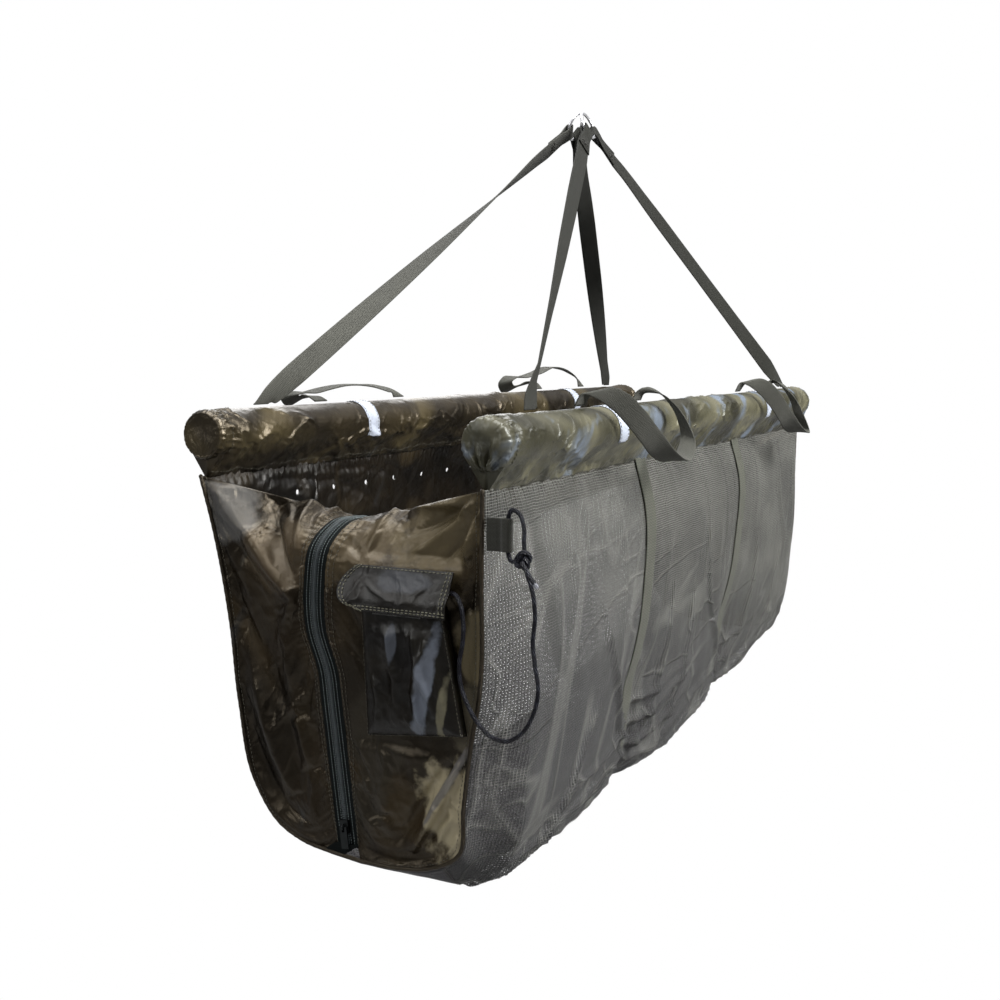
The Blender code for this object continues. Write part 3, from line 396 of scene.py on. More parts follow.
class Finish:
    def __init__(self, name, **plain):
        self.material = bpy.data.materials.new(name)
        self.material.use_nodes = True
        self.tree = self.material.node_tree
        self.shader = self.tree.nodes["Principled BSDF"]
        for socket, value in plain.items():
            self.shader.inputs[socket.replace("_", " ")].default_value = value

    def node(self, kind, settings=None, values=None, out=0):
        made = self.tree.nodes.new(kind)
        for name, value in (settings or {}).items():
            setattr(made, name, value)
        for name, value in (values or {}).items():
            self.feed(made.inputs[name], value)
        return Wire(self, made.outputs[out])

    def feed(self, socket, value):
        if isinstance(value, Wire):
            self.tree.links.new(value.socket, socket)
        else:
            socket.default_value = value

    def home(self):
        return self.node("ShaderNodeTexCoord", out=3)

    def place(self, scale=(1, 1, 1)):
        return self.node("ShaderNodeMapping", {}, {0: self.home(), 3: scale})

    def drawnOut(self, turn, scale, centre=(0, 0, 0)):
        # turned first and stretched after, so that a pattern runs along the turned axes
        values = {0: self.home(), 1: centre, 2: turn, 3: scale}
        return self.node("ShaderNodeMapping", {"vector_type": "TEXTURE"}, values)

    def apart(self, place):
        # the three parts of a place, as numbers
        split = self.tree.nodes.new("ShaderNodeSeparateXYZ")
        self.feed(split.inputs[0], place)
        return [Wire(self, part) for part in split.outputs]

    def near(self, place, reach, ragged, lean=0.0):
        # 1 inside an egg shape of three half sizes that leans about x, and 0 outside it
        inside = self.drawnOut((lean, 0, 0), reach, place)
        away = self.node("ShaderNodeVectorMath", {"operation": "LENGTH"}, {0: inside}, out=1)
        return (away + ragged).ramp(1.0, 0.7)

    def cloth(self):
        # distance across and along the cloth, in metres, from the piece's own map
        return self.apart(self.node("ShaderNodeUVMap", {"uv_map": "cloth"}))[:2]

    def noise(self, place, scale, detail=3.0, roughness=0.5, distortion=0.0):
        values = {"Vector": place, "Scale": scale, "Detail": detail}
        values.update(Roughness=roughness, Distortion=distortion)
        return self.node("ShaderNodeTexNoise", {}, values)

    def mix(self, factor, first, second):
        def colour(value):
            return value if isinstance(value, Wire) else (*value, 1)
        values = {0: factor, 6: colour(first), 7: colour(second)}
        return self.node("ShaderNodeMix", {"data_type": "RGBA"}, values, out=2)

    def bump(self, height, depth, under=None):
        values = {"Height": height, "Distance": depth, "Strength": 1.0}
        if under:
            values["Normal"] = under
        return self.node("ShaderNodeBump", {}, values)

    def wear(self, **sockets):
        for name, value in sockets.items():
            if isinstance(value, tuple):
                value = (*value, 1)
            self.feed(self.shader.inputs[name.replace("_", " ")], value)
        return self.material


def toned(colour, share):
    return tuple(min(1, part * share) for part in colour)


def camouflageFinish(name, tones, gloss=0.3, patches=(), lean=0.5, shine=0.6):
    # coated polyester: soft printed blotches drawn out along the cloth, a satin face and a weave
    f = Finish(name, Specular_IOR_Level=shine, Specular_Tint=(*tones["shine"], 1), Coat_Roughness=0.2)
    broad = f.noise(f.drawnOut((0.3, lean, 0.4), (1.7, 0.8, 1.0)), 8.0, 2.0, 0.45, 0.6)
    second = f.noise(f.drawnOut((0.9, lean, 1.2), (0.8, 1.5, 1.0)), 9.0, 2.0, 0.45, 0.8)
    streak = f.noise(f.drawnOut((0.2, lean, 0.0), (0.35, 0.35, 2.6)), 11.0, 2.0, 0.5, 0.3)
    colour = f.mix(broad.ramp(0.4, 0.66), tones["dark"], tones["brown"])
    colour = f.mix(second.ramp(tones["spread"], tones["spread"] + 0.22), colour, tones["gold"])
    greyed = (streak + broad * 0.4).ramp(tones["greySpread"], tones["greySpread"] + 0.16)
    colour = f.mix(greyed, colour, tones["grey"])
    ragged = (second - 0.5) * 1.6 + (f.noise(f.place(), 60.0, 3.0, 0.6) - 0.5) * 0.7
    # the listed blotches of colour: some are print, the rest are painted light and painted highlights
    for place, reach, tone, tilt in patches:
        colour = f.mix(f.near(place, reach, ragged, tilt) * 0.85, colour, tone)
    across, along = f.cloth()
    threads = (across * 5200.0).sine() * (along * 5200.0).sine()
    fine = f.noise(f.place(), 120.0, 3.0, 0.6)
    crumple = f.noise(f.drawnOut((0.3, lean, 0.0), (1.0, 1.0, 1.8)), 24.0, 2.0, 0.4, 0.9)
    crease = (1.0 - ((crumple - 0.5) * 7.0).size()).maths("MAXIMUM", 0.0)
    rubbedAndSheen = f.noise(f.place(), 22.0, 4.0, 0.6)
    under = f.bump(crumple + crease * 0.3, 0.0024)
    under = f.bump(fine, 0.00025, under)
    return f.wear(
        # lighter golden patches at random: partly rubbed wear, which also roughens the cloth, and partly painted
        # golden sheen
        Base_Color=f.mix(rubbedAndSheen.ramp(0.4, 0.8) * 0.25, colour, tones["rubAndSheen"]),
        Roughness=gloss + 0.12 * rubbedAndSheen + 0.03 * threads,
        Coat_Weight=0.1 * fine.ramp(0.3, 0.7),
        Normal=f.bump(threads, 0.00004, under),
    )


netHoles = {"wide": 0.004, "high": 0.0027, "wideDrift": 0.65, "highDrift": 1.0, "soft": 0.12}


def netFinish(name, thread, shade, low, opening):
    # knitted net: square holes between fine threads, with painted shade, darker below and towards the front and
    # near-black at each hole's edge, and painted highlights along its creases
    f = Finish(name, Specular_IOR_Level=0.2, Sheen_Weight=0.1, Sheen_Roughness=0.6)
    across, along = f.cloth()
    drift = f.noise(f.place(), 65.0, 2.0) - 0.5
    u = ((across / netHoles["wide"] + drift * netHoles["wideDrift"]).fract() - 0.5).size() * 2.0
    v = ((along / netHoles["high"] + drift * netHoles["highDrift"]).fract() - 0.5).size() * 2.0
    soft, flatter = netHoles["soft"], opening * 0.9
    hole = (1.0 - u.ramp(opening - soft, opening + soft)) * (1.0 - v.ramp(flatter - soft, flatter + soft))
    raised = u.maths("MAXIMUM", v).ramp(opening - 0.1, 1.0)
    mottle = f.noise(f.place(scale=(1, 1, 1.6)), 7.0, 5.0, 0.62)
    fibre = f.noise(f.place(), 900.0, 2.0)
    lines = f.noise(f.drawnOut((0, -0.24, 0), (8.0, 1.0, 1.0)), 26.0, 0.0, 0.5, 0.3)
    steep = f.noise(f.drawnOut((0, -1.2, 0), (7.0, 1.0, 1.0)), 17.0, 0.0, 0.5, 0.3)
    x, _, z = f.apart(f.home())
    height = z + 0.22 * x + 0.12 * (mottle - 0.5)
    crease = (1.0 - ((lines - 0.5) * 22.0).size()).maths("MAXIMUM", 0.0)
    crease = crease.maths("MAXIMUM", 1.0 - ((steep - 0.5) * 24.0).size()) * height.ramp(-0.48, -0.66)
    colour = f.mix(mottle.ramp(0.3, 0.7), shade, thread)
    # painted shade: the net darkens below and towards the front of the bag
    colour = f.mix(height.ramp(-0.5, -0.8), colour, low)
    colour = f.mix(fibre.ramp(0.4, 0.8) * 0.3, colour, toned(thread, 1.8))
    # painted shade: the thread darkens to near black at the edge of each hole
    colour = f.mix(raised, toned(shade, 0.05), colour)
    # painted highlights: pale lines along the creases of the lower net
    colour = f.mix(crease * 0.3, colour, toned(thread, 1.3))
    return f.wear(
        Base_Color=colour,
        Roughness=0.75 + 0.12 * fibre,
        Alpha=1.0 - hole,
        Normal=f.bump(raised + fibre * 0.2, 0.0005, f.bump(crease, 0.003)),
    )


def webbingFinish(name, light, dark, rib=0.0014, soft=0.2, aged=1.0):
    # flat woven webbing: ribs across it, a fine herringbone, and darker high up when aged
    f = Finish(name, Specular_IOR_Level=0.15 + 0.5 * soft, Sheen_Weight=soft, Sheen_Roughness=0.5)
    across, along = f.cloth()
    zigzag = (across * (math.pi / 0.004)).sine() * 0.0009
    ribs = ((along + zigzag) * (2 * math.pi / rib)).sine()
    yarns = (across * (2 * math.pi / 0.0011)).sine()
    weave = ribs * 0.6 + yarns * 0.4
    dust = f.noise(f.place(), 45.0, 4.0, 0.6)
    fibre = f.noise(f.place(), 1400.0, 2.0)
    lower = f.apart(f.home())[2].ramp(-0.03, -0.36)
    light = f.mix(lower, toned(light, aged), light)
    colour = f.mix((weave * 0.5 + 0.5) * 0.55 + dust * 0.35, dark, light)
    return f.wear(
        Base_Color=f.mix(fibre.ramp(0.5, 0.8) * 0.3, colour, light),
        Roughness=0.68 + 0.15 * dust,
        Normal=f.bump(weave, 0.00025, f.bump(fibre, 0.0001)),
    )


cordSizes = {
    "radius": 0.002, "loops": 4, "pitch": 0.0046, "innerRadius": 0.01, "straight": 0.044,
    "middle": (0.05, -0.068), "steps": 24,
}
cordRoute = [
    (0.006, -0.2085, -0.122), (0.005, -0.2115, -0.147), (0.005, -0.2095, -0.171), (0.006, -0.2125, -0.194),
    (0.007, -0.2155, -0.209), (0.008, -0.2115, -0.234), (0.009, -0.2, -0.253), (0.01, -0.187, -0.261),
    (0.0105, -0.1715, -0.259), (0.0105, -0.159, -0.249), (0.0105, -0.1475, -0.232), (0.0105, -0.1405, -0.213),
    (0.0105, -0.1395, -0.196), (0.0105, -0.143, -0.176), (0.0105, -0.1435, -0.156), (0.0105, -0.1405, -0.141),
    (0.0068, -0.1335, -0.134), (0.0056, -0.1245, -0.134), (0.006, -0.1165, -0.138),
]
cordLoopRoute = [
    (0.0035, -0.2, -0.083), (0.002, -0.199, -0.069), (0.0015, -0.1935, -0.0575), (0.0012, -0.1875, -0.0555),
    (0.001, -0.184, -0.0615), (0.001, -0.184, -0.068), (0.001, -0.184, -0.078), (0.001, -0.184, -0.088),
    (0.001, -0.184, -0.0955), (0.0015, -0.1865, -0.1005),
]
cordTailRoute = [(0.0148, -0.2065, -0.104), (0.0165, -0.2125, -0.1115), (0.0172, -0.2185, -0.1185)]
knot = {"place": (0.006, -0.2005, -0.0985), "size": (0.0056, 0.0059, 0.0068), "radius": 0.0024}
pocketPlace = {
    "clearance": 0.0003, "inset": 0.034, "drop": 0.147, "depth": 0.0145, "wall": 0.0012,
    "flapHinge": 0.115, "drawnIn": 0.0065, "middle": (-0.077, -0.197), "half": (0.072, 0.088),
    "flapMiddle": -0.071, "flapHalf": 0.06,
}


def cornerPlace(point):
    forward, across, up = point
    return np.array([-sling["endX"] - forward, across, up - sling["hookHeight"]])


def cordFinish():
    # braided cord: two sets of strands that cross, dark navy with pale flecks
    f = Finish("braidedCord", Specular_IOR_Level=0.35)
    around, along = f.cloth()
    plait, strandCount = 0.0052, 6
    twist = along * (2 * math.pi / plait)
    one = (around * (2 * math.pi * strandCount) + twist).sine()
    other = (around * (2 * math.pi * strandCount) - twist).sine()
    strands = one.maths("MAXIMUM", other)
    fibre = f.noise(f.place(), 1500.0, 2.0)
    fleck = (around * strandCount + along / plait).fract().over(0.8) * (along / (3 * plait)).fract().over(0.62)
    colour = f.mix(strands.ramp(-0.2, 1.0), (0.0012, 0.0012, 0.0025), (0.006, 0.0062, 0.013))
    colour = f.mix(fleck * 0.5, colour, (0.14, 0.15, 0.19))
    frayed = f.near(tuple(cornerPlace(cordTailRoute[-1])), (0.0042,) * 3, fibre - 0.5)
    return f.wear(
        Base_Color=f.mix(frayed * 0.8, colour, (0.42, 0.43, 0.48)),
        Roughness=0.32 + 0.2 * fibre,
        Normal=f.bump(strands, 0.0005, f.bump(fibre, 0.0001)),
    )


def metalFinish(name, colour, polish, grime, metal=1.0):
    f = Finish(name, Metallic=metal)
    smudge = f.noise(f.place(), 180.0, 4.0, 0.6)
    scratch = f.noise(f.place(scale=(1, 14, 1)), 900.0, 2.0)
    return f.wear(
        Base_Color=f.mix(smudge.ramp(0.5, 0.8) * grime, colour, toned(colour, 0.4)),
        Roughness=polish + 0.12 * smudge,
        Normal=f.bump(scratch, 0.00001),
    )


def plainThreads(name, light, dark, rough=0.6):
    # sewing thread, coil and other small wound things
    f = Finish(name, Specular_IOR_Level=0.4, Sheen_Weight=0.2)
    twist = f.noise(f.place(), 1100.0, 3.0)
    return f.wear(
        Base_Color=f.mix(twist.ramp(0.3, 0.7), dark, light),
        Roughness=rough + 0.2 * twist,
        Normal=f.bump(twist, 0.0001),
    )


def reflectiveFinish():
    # reflective tape: a cool grey cloth face full of tiny glass beads
    f = Finish("reflectiveTape", Specular_IOR_Level=0.7, Coat_Weight=0.2)
    across, along = f.cloth()
    bead = f.noise(f.place(), 2600.0, 1.0)
    soil = f.noise(f.place(), 60.0, 4.0, 0.65)
    rows = (along * (2 * math.pi / 0.0022)).sine() * (across * (2 * math.pi / 0.0022)).sine()
    colour = f.mix(soil.ramp(0.45, 0.75), (0.62, 0.68, 0.8), (0.33, 0.36, 0.42))
    return f.wear(
        Base_Color=f.mix(bead.ramp(0.55, 0.7), colour, (0.9, 0.92, 0.96)),
        Roughness=0.35 + 0.25 * soil,
        Normal=f.bump(rows * 0.3 + bead, 0.0002),
    )


def foamFinish():
    f = Finish("closedFoam", Specular_IOR_Level=0.2)
    cells = f.node("ShaderNodeTexVoronoi", {}, {"Vector": f.place(), "Scale": 900.0})
    return f.wear(
        Base_Color=f.mix(cells.ramp(0.1, 0.6), (0.02, 0.02, 0.02), (0.06, 0.06, 0.06)),
        Roughness=0.9 + 0.05 * cells,
        Normal=f.bump(cells, 0.0003),
    )


def patchFinish():
    f = Finish("hookAndLoop", Sheen_Weight=0.6)
    fuzz = f.noise(f.place(), 1300.0, 4.0, 0.8)
    return f.wear(
        Base_Color=f.mix(fuzz, (0.01, 0.01, 0.008), (0.06, 0.06, 0.05)),
        Roughness=0.85 + 0.1 * fuzz,
        Normal=f.bump(fuzz, 0.0012),
    )


bagTones = {
    "dark": (0.0028, 0.002, 0.0013),
    "brown": (0.0105, 0.0068, 0.0032),
    "gold": (0.032, 0.022, 0.010),
    "grey": (0.03, 0.034, 0.038),
    "rubAndSheen": (0.035, 0.026, 0.015),
    "shine": (0.95, 0.8, 0.58),
    "spread": 0.5,
    "greySpread": 0.86,
}
# painted light: lighter copies of the bag's camouflage tones for the sleeves, the left one lighter than the bag's and
# the right one, on the lamp's side, lightest of all, with wider greyish painted highlights
leftSleeveHalfLitTones = {
    **bagTones,
    "dark": (0.008, 0.0062, 0.0036),
    "brown": (0.028, 0.021, 0.010),
    "gold": (0.07, 0.055, 0.026),
    "grey": (0.06, 0.066, 0.074),
}
rightSleeveLitTones = {
    **bagTones,
    "dark": (0.03, 0.028, 0.017),
    "brown": (0.08, 0.076, 0.045),
    "gold": (0.16, 0.15, 0.095),
    "grey": (0.17, 0.205, 0.255),
    "rubAndSheen": (0.12, 0.115, 0.08),
    "shine": (0.92, 0.95, 0.9),
    "spread": 0.46,
    "greySpread": 0.74,
}
pocketTones = {
    **bagTones,
    "brown": (0.0085, 0.0075, 0.006),
    "gold": (0.015, 0.0125, 0.008),
    "shine": (0.9, 0.9, 0.88),
}
skirtTones = {**bagTones, "gold": (0.035, 0.025, 0.012), "shine": (0.9, 0.88, 0.84)}
bindingTones = {**bagTones, "gold": (0.02, 0.015, 0.008), "brown": (0.012, 0.009, 0.006)}


def printAndHighlight(y, z, reach, tone, x=-0.602, tilt=0.0):
    # one large blotch of colour on the front panel, or on the pouch in front of it; some are print, and some are
    # painted light and painted highlights
    reach = reach if isinstance(reach, tuple) else (reach,) * 3
    return (x, y, z - sling["hookHeight"]), reach, tone, tilt


frontPrintAndHighlights = [
    # these two, golden and brown on the panel's upper part: painted light
    printAndHighlight(-0.01, -0.08, 0.062, (0.09, 0.068, 0.037)),
    printAndHighlight(0.07, -0.115, 0.042, (0.07, 0.052, 0.031)),
    # a grey blotch of the print
    printAndHighlight(0.125, -0.07, 0.04, (0.115, 0.115, 0.112)),
    # these three, golden on the upper right and down the right edge: painted light
    printAndHighlight(-0.11, -0.08, 0.066, (0.12, 0.096, 0.053)),
    printAndHighlight(-0.16, -0.18, 0.034, (0.15, 0.125, 0.072)),
    printAndHighlight(-0.15, -0.25, 0.03, (0.09, 0.08, 0.055)),
    printAndHighlight(-0.045, -0.31, (0.05, 0.036, 0.085), (0.022, 0.02, 0.015)),
    # painted highlight: the bright golden crinkled lower right corner
    printAndHighlight(-0.122, -0.35, 0.054, (0.5, 0.44, 0.29)),
    # painted highlight: a pale streak along the ridge of a fold
    printAndHighlight(-0.111, -0.333, (0.03, 0.0055, 0.062), (0.17, 0.165, 0.16), tilt=0.528),
]
# painted highlights on the pouch and flap: pale blue and gold streaks down the pouch's right part, and a lighter band
# across the flap's top
pouchHighlights = [
    printAndHighlight(-0.108, -0.218, (0.03, 0.011, 0.07), (0.2, 0.225, 0.27), -0.616, 0.184),
    printAndHighlight(-0.124, -0.24, (0.03, 0.006, 0.045), (0.2, 0.185, 0.12), -0.612, 0.1),
    printAndHighlight(-0.073, -0.182, (0.03, 0.006, 0.024), (0.1, 0.11, 0.13), -0.617),
    printAndHighlight(-0.085, -0.127, (0.03, 0.034, 0.012), (0.06, 0.064, 0.072), -0.61),
]
finishes = {
    "bagCamouflage": camouflageFinish("bagCamouflage", bagTones, 0.2, frontPrintAndHighlights, 0.5, 0.55),
    "skirtCamouflage": camouflageFinish("skirtCamouflage", skirtTones, 0.25),
    "pocketCamouflage": camouflageFinish("pocketCamouflage", pocketTones, 0.24, pouchHighlights, 0.2, 0.4),
    "leftCamouflage": camouflageFinish("leftSleeveCamouflage", leftSleeveHalfLitTones, 0.24, (), 0.6, 0.8),
    "rightCamouflage": camouflageFinish("rightSleeveCamouflage", rightSleeveLitTones, 0.24, (), 0.7, 0.6),
    "binding": camouflageFinish("seamBinding", bindingTones, 0.35),
    "net": netFinish("sideNet", (0.33, 0.33, 0.292), (0.185, 0.185, 0.165), (0.1, 0.099, 0.1), 0.66),
    "floorNet": netFinish("floorNet", (0.2, 0.193, 0.193), (0.135, 0.13, 0.135), (0.105, 0.1, 0.105), 0.45),
    "webbing": webbingFinish("oliveWebbing", (0.13, 0.13, 0.108), (0.026, 0.026, 0.021), 0.0019, 0.1),
    "strapWebbing": webbingFinish("strapWebbing", (0.05, 0.051, 0.04), (0.009, 0.009, 0.007), 0.0019, 0.06, 0.6),
    "fadedWebbing": webbingFinish("fadedWebbing", (0.17, 0.17, 0.143), (0.03, 0.03, 0.025), 0.0019, 0.1, 0.45),
    "bellyWebbing": webbingFinish("paleWebbing", (0.2, 0.205, 0.16), (0.012, 0.0125, 0.01), 0.0034, 0.1),
    "tape": webbingFinish("zipTape", (0.006, 0.0105, 0.01), (0.0012, 0.002, 0.002), 0.0009, 0.0),
    "coil": plainThreads("zipCoil", (0.1, 0.13, 0.135), (0.012, 0.016, 0.017), 0.3),
    "thread": plainThreads("sewingThread", (0.16, 0.15, 0.11), (0.05, 0.045, 0.03)),
    "zipThread": plainThreads("zipThread", (0.5, 0.58, 0.57), (0.2, 0.25, 0.25)),
    "flapThread": plainThreads("flapThread", (0.3, 0.29, 0.2), (0.09, 0.085, 0.055)),
    "strapThread": plainThreads("strapThread", (0.05, 0.048, 0.038), (0.012, 0.011, 0.008)),
    "tabWebbing": webbingFinish("darkWebbing", (0.06, 0.06, 0.045), (0.02, 0.02, 0.016)),
    "cord": cordFinish(),
    # the ring is only partly metallic, with a white base colour whose diffuse part lights up white: painted
    # reflection of the white studio
    "chrome": metalFinish("ringChrome", (0.95, 0.95, 0.97), 0.1, 0.2, 0.7),
    "darkMetal": metalFinish("zipMetal", (0.05, 0.055, 0.055), 0.3, 0.6),
    "reflective": reflectiveFinish(),
    "foam": foamFinish(),
    "patch": patchFinish(),
}
print("finishes made:", len(finishes))


def deselectAll():
    if bpy.context.object and bpy.context.object.mode != "OBJECT":
        bpy.ops.object.mode_set(mode="OBJECT")
    bpy.ops.object.select_all(action="DESELECT")


def makeActive(piece):
    deselectAll()
    bpy.context.view_layer.objects.active = piece
    piece.select_set(True)


def thicken(piece, thickness, offset):
    solid = piece.modifiers.new("thickness", "SOLIDIFY")
    solid.thickness, solid.offset = thickness, offset
    bpy.ops.object.modifier_apply(modifier=solid.name)


def gridPiece(name, grid, uv, finish, thickness=0.0, offset=-1.0, merged=False):
    # a grid primitive whose points take the given places; columns run along x of the primitive
    rows, columns = grid.shape[:2]
    deselectAll()
    bpy.ops.mesh.primitive_grid_add(x_subdivisions=columns - 1, y_subdivisions=rows - 1, size=1)
    piece = bpy.context.object
    piece.name = piece.data.name = name
    piece.data.vertices.foreach_set("co", grid.reshape(-1).astype(np.float32))
    layer = piece.data.uv_layers[0]
    layer.name = "cloth"
    corners = np.zeros(len(piece.data.loops), np.int32)
    piece.data.loops.foreach_get("vertex_index", corners)
    layer.data.foreach_set("uv", uv.reshape(-1, 2)[corners].reshape(-1).astype(np.float32))
    piece.data.update()
    piece.data.materials.append(finish)
    if merged:
        bpy.ops.object.mode_set(mode="EDIT")
        bpy.ops.mesh.select_all(action="SELECT")
        bpy.ops.mesh.remove_doubles(threshold=0.000002)
        bpy.ops.mesh.normals_make_consistent(inside=False)
        bpy.ops.object.mode_set(mode="OBJECT")
    if thickness:
        thicken(piece, thickness, offset)
    bpy.ops.object.shade_smooth()
    return piece


def facesPiece(name, verts, faces, finish):
    # many small closed shapes as one piece
    mesh = bpy.data.meshes.new(name)
    mesh.from_pydata(verts, [], faces)
    mesh.materials.append(finish)
    piece = bpy.data.objects.new(name, mesh)
    bpy.context.scene.collection.objects.link(piece)
    makeActive(piece)
    bpy.ops.object.mode_set(mode="EDIT")
    bpy.ops.mesh.select_all(action="SELECT")
    bpy.ops.mesh.normals_make_consistent(inside=False)
    bpy.ops.object.mode_set(mode="OBJECT")
    bpy.ops.object.shade_smooth()
    return piece


def wornBy(piece, body, *nodes):
    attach(piece, body)
    if nodes:
        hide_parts(*nodes)
    return piece


def lengthsOf(grid):
    # distance walked down the rows and along the columns
    steps = [np.cumsum(np.linalg.norm(np.diff(grid, axis=axis), axis=2), axis=axis) for axis in (0, 1)]
    down = np.concatenate([np.zeros((1, grid.shape[1])), steps[0]])
    along = np.concatenate([np.zeros((grid.shape[0], 1)), steps[1]], axis=1)
    return along, down


def clothSheet(name, grid, finish, thickness, nodes, body="bag", drops=()):
    along, down = lengthsOf(grid)
    piece = gridPiece(name, grid, np.stack([along, down], axis=2), finish)
    if drops:
        punchHoles(piece, drops)
    makeActive(piece)
    thicken(piece, thickness, 0.0)
    bpy.ops.object.shade_smooth()
    wornBy(piece, body, *nodes)


drainHoles = {"count": 15, "pitch": 0.074, "drop": 0.038, "radius": 0.0026, "rimReach": 1.32, "rimSize": 1.1}


def punchHoles(piece, drops):
    # round drain holes: faces near each centre go, and the rim is drawn onto a circle
    mesh = piece.data
    makeActive(piece)
    centres = np.array([p.center for p in mesh.polygons])
    chosen = np.zeros(len(mesh.polygons), bool)
    for centre, radius in drops:
        chosen |= np.linalg.norm(centres - np.array(centre), axis=1) < radius
    bpy.ops.object.mode_set(mode="EDIT")
    bpy.ops.mesh.select_mode(type="FACE")
    bpy.ops.mesh.select_all(action="DESELECT")
    bpy.ops.object.mode_set(mode="OBJECT")
    mesh.polygons.foreach_set("select", chosen)
    bpy.ops.object.mode_set(mode="EDIT")
    bpy.ops.mesh.delete(type="FACE")
    bpy.ops.mesh.select_mode(type="VERT")
    bpy.ops.object.mode_set(mode="OBJECT")
    places = np.zeros(len(mesh.vertices) * 3, np.float32)
    mesh.vertices.foreach_get("co", places)
    places = places.reshape(-1, 3)
    for centre, radius in drops:
        away = places - np.array(centre, np.float32)
        gap = np.linalg.norm(away, axis=1)
        rim = gap < radius * drainHoles["rimReach"]
        drawn = radius * drainHoles["rimSize"] / np.maximum(gap[rim], 1e-6)
        places[rim] = np.array(centre, np.float32) + away[rim] * drawn[:, None]
    mesh.vertices.foreach_set("co", places.reshape(-1))
    mesh.update()


# half of a webbing's section: its rounded edges and its slightly uneven face
webbingEdge = [
    (-1, 0), (-0.985, 0.75), (-0.9, 1), (-0.6, 0.96), (-0.3, 1), (0, 0.96),
    (0.3, 1), (0.6, 0.96), (0.9, 1), (0.985, 0.75), (1, 0),
]


def ribbonPiece(name, centres, acrosses, widths, thickness, finish, body, nodes=(), bow=0.0):
    # webbing along a line of points; bow lifts its middle line
    centres, acrosses = np.array(centres, float), unit(np.array(acrosses, float))
    widths = np.broadcast_to(np.array(widths, float), (len(centres),))
    tangents = unit(np.gradient(centres, axis=0))
    lifts = unit(np.cross(tangents, acrosses))
    shape = np.array(webbingEdge + [(u, -v) for u, v in webbingEdge[-2:0:-1]] + webbingEdge[:1])
    rows = np.concatenate([[0], np.arange(len(centres)), [len(centres) - 1]])
    closing = np.concatenate([[0], np.ones(len(centres)), [0]])
    u = shape[None, :, 0] * widths[rows][:, None] / 2
    v = shape[None, :, 1] * (thickness / 2) * closing[:, None] + bow * (1 - shape[None, :, 0] ** 2)
    grid = centres[rows][:, None] + acrosses[rows][:, None] * u[..., None] + lifts[rows][:, None] * v[..., None]
    uv = np.stack(np.broadcast_arrays(u, walked(centres)[rows][:, None]), axis=2)
    piece = gridPiece(name, grid, uv, finish, merged=True)
    return wornBy(piece, body, *nodes)


def carriedFrames(path):
    # directions square to a path, carried along it without twist
    path = np.array(path, float)
    tangents = unit(np.gradient(path, axis=0))
    first = np.cross(tangents[0], (0, 0, 1)) if abs(tangents[0][2]) < 0.9 else np.cross(tangents[0], (0, 1, 0))
    normals = [unit(first)]
    for k in range(1, len(path)):
        carried = normals[-1] - tangents[k] * (normals[-1] @ tangents[k])
        normals.append(unit(carried))
    normals = np.array(normals)
    return tangents, normals, np.cross(tangents, normals)


def tubePiece(name, path, radius, finish, body, nodes=(), around=14):
    # a round cord with rounded ends: a ring drawn in, then a point
    path = np.array(path, float)
    tangents, normals, binormals = carriedFrames(path)
    radii = np.broadcast_to(np.array(radius, float), (len(path),))
    last = len(path) - 1
    rows = [0, 0, *range(len(path)), last, last]
    radii = np.concatenate([[0, radii[0] * 0.7], radii, [radii[-1] * 0.7, 0]])
    slide = np.zeros(len(rows))
    slide[:2] = -radii[2] * 0.9, -radii[2] * 0.6
    slide[-2:] = radii[-3] * 0.6, radii[-3] * 0.9
    angles = np.linspace(0, 2 * math.pi, around + 1)
    ring = normals[rows][:, None] * np.cos(angles)[None, :, None]
    ring = ring + binormals[rows][:, None] * np.sin(angles)[None, :, None]
    grid = (path[rows] + tangents[rows] * slide[:, None])[:, None] + ring * radii[:, None, None]
    run = walked(path)[rows] + slide
    uv = np.stack(np.broadcast_arrays((angles / (2 * math.pi))[None], run[:, None]), axis=2)
    piece = gridPiece(name, grid, uv, finish, merged=True)
    return wornBy(piece, body, *nodes)


stitch = {"sides": 6, "rings": ((0.12, 0.8), (0.5, 1.0), (0.88, 0.8)), "pitch": 0.0042, "length": 0.003}


def oneStitch():
    # a short thread pointed at both ends, 1 long and 1 in radius
    sides, rings = stitch["sides"], len(stitch["rings"])
    verts, faces = [(0, 0, 0)], []
    for share, wide in stitch["rings"]:
        for k in range(sides):
            a = 2 * math.pi * k / sides
            verts.append((share, wide * math.cos(a), wide * math.sin(a)))
    verts.append((1, 0, 0))
    final = 1 + (rings - 1) * sides
    for k in range(sides):
        after = (k + 1) % sides
        faces.append((0, 1 + after, 1 + k))
        for ring in range(rings - 1):
            low, high = 1 + ring * sides, 1 + (ring + 1) * sides
            faces.append((low + k, low + after, high + after, high + k))
        faces.append((len(verts) - 1, final + k, final + after))
    return np.array(verts), faces


def readAlong(values, run, at):
    # each column of the values, read at one distance along a line
    return np.array([np.interp(at, run, column) for column in values.T])


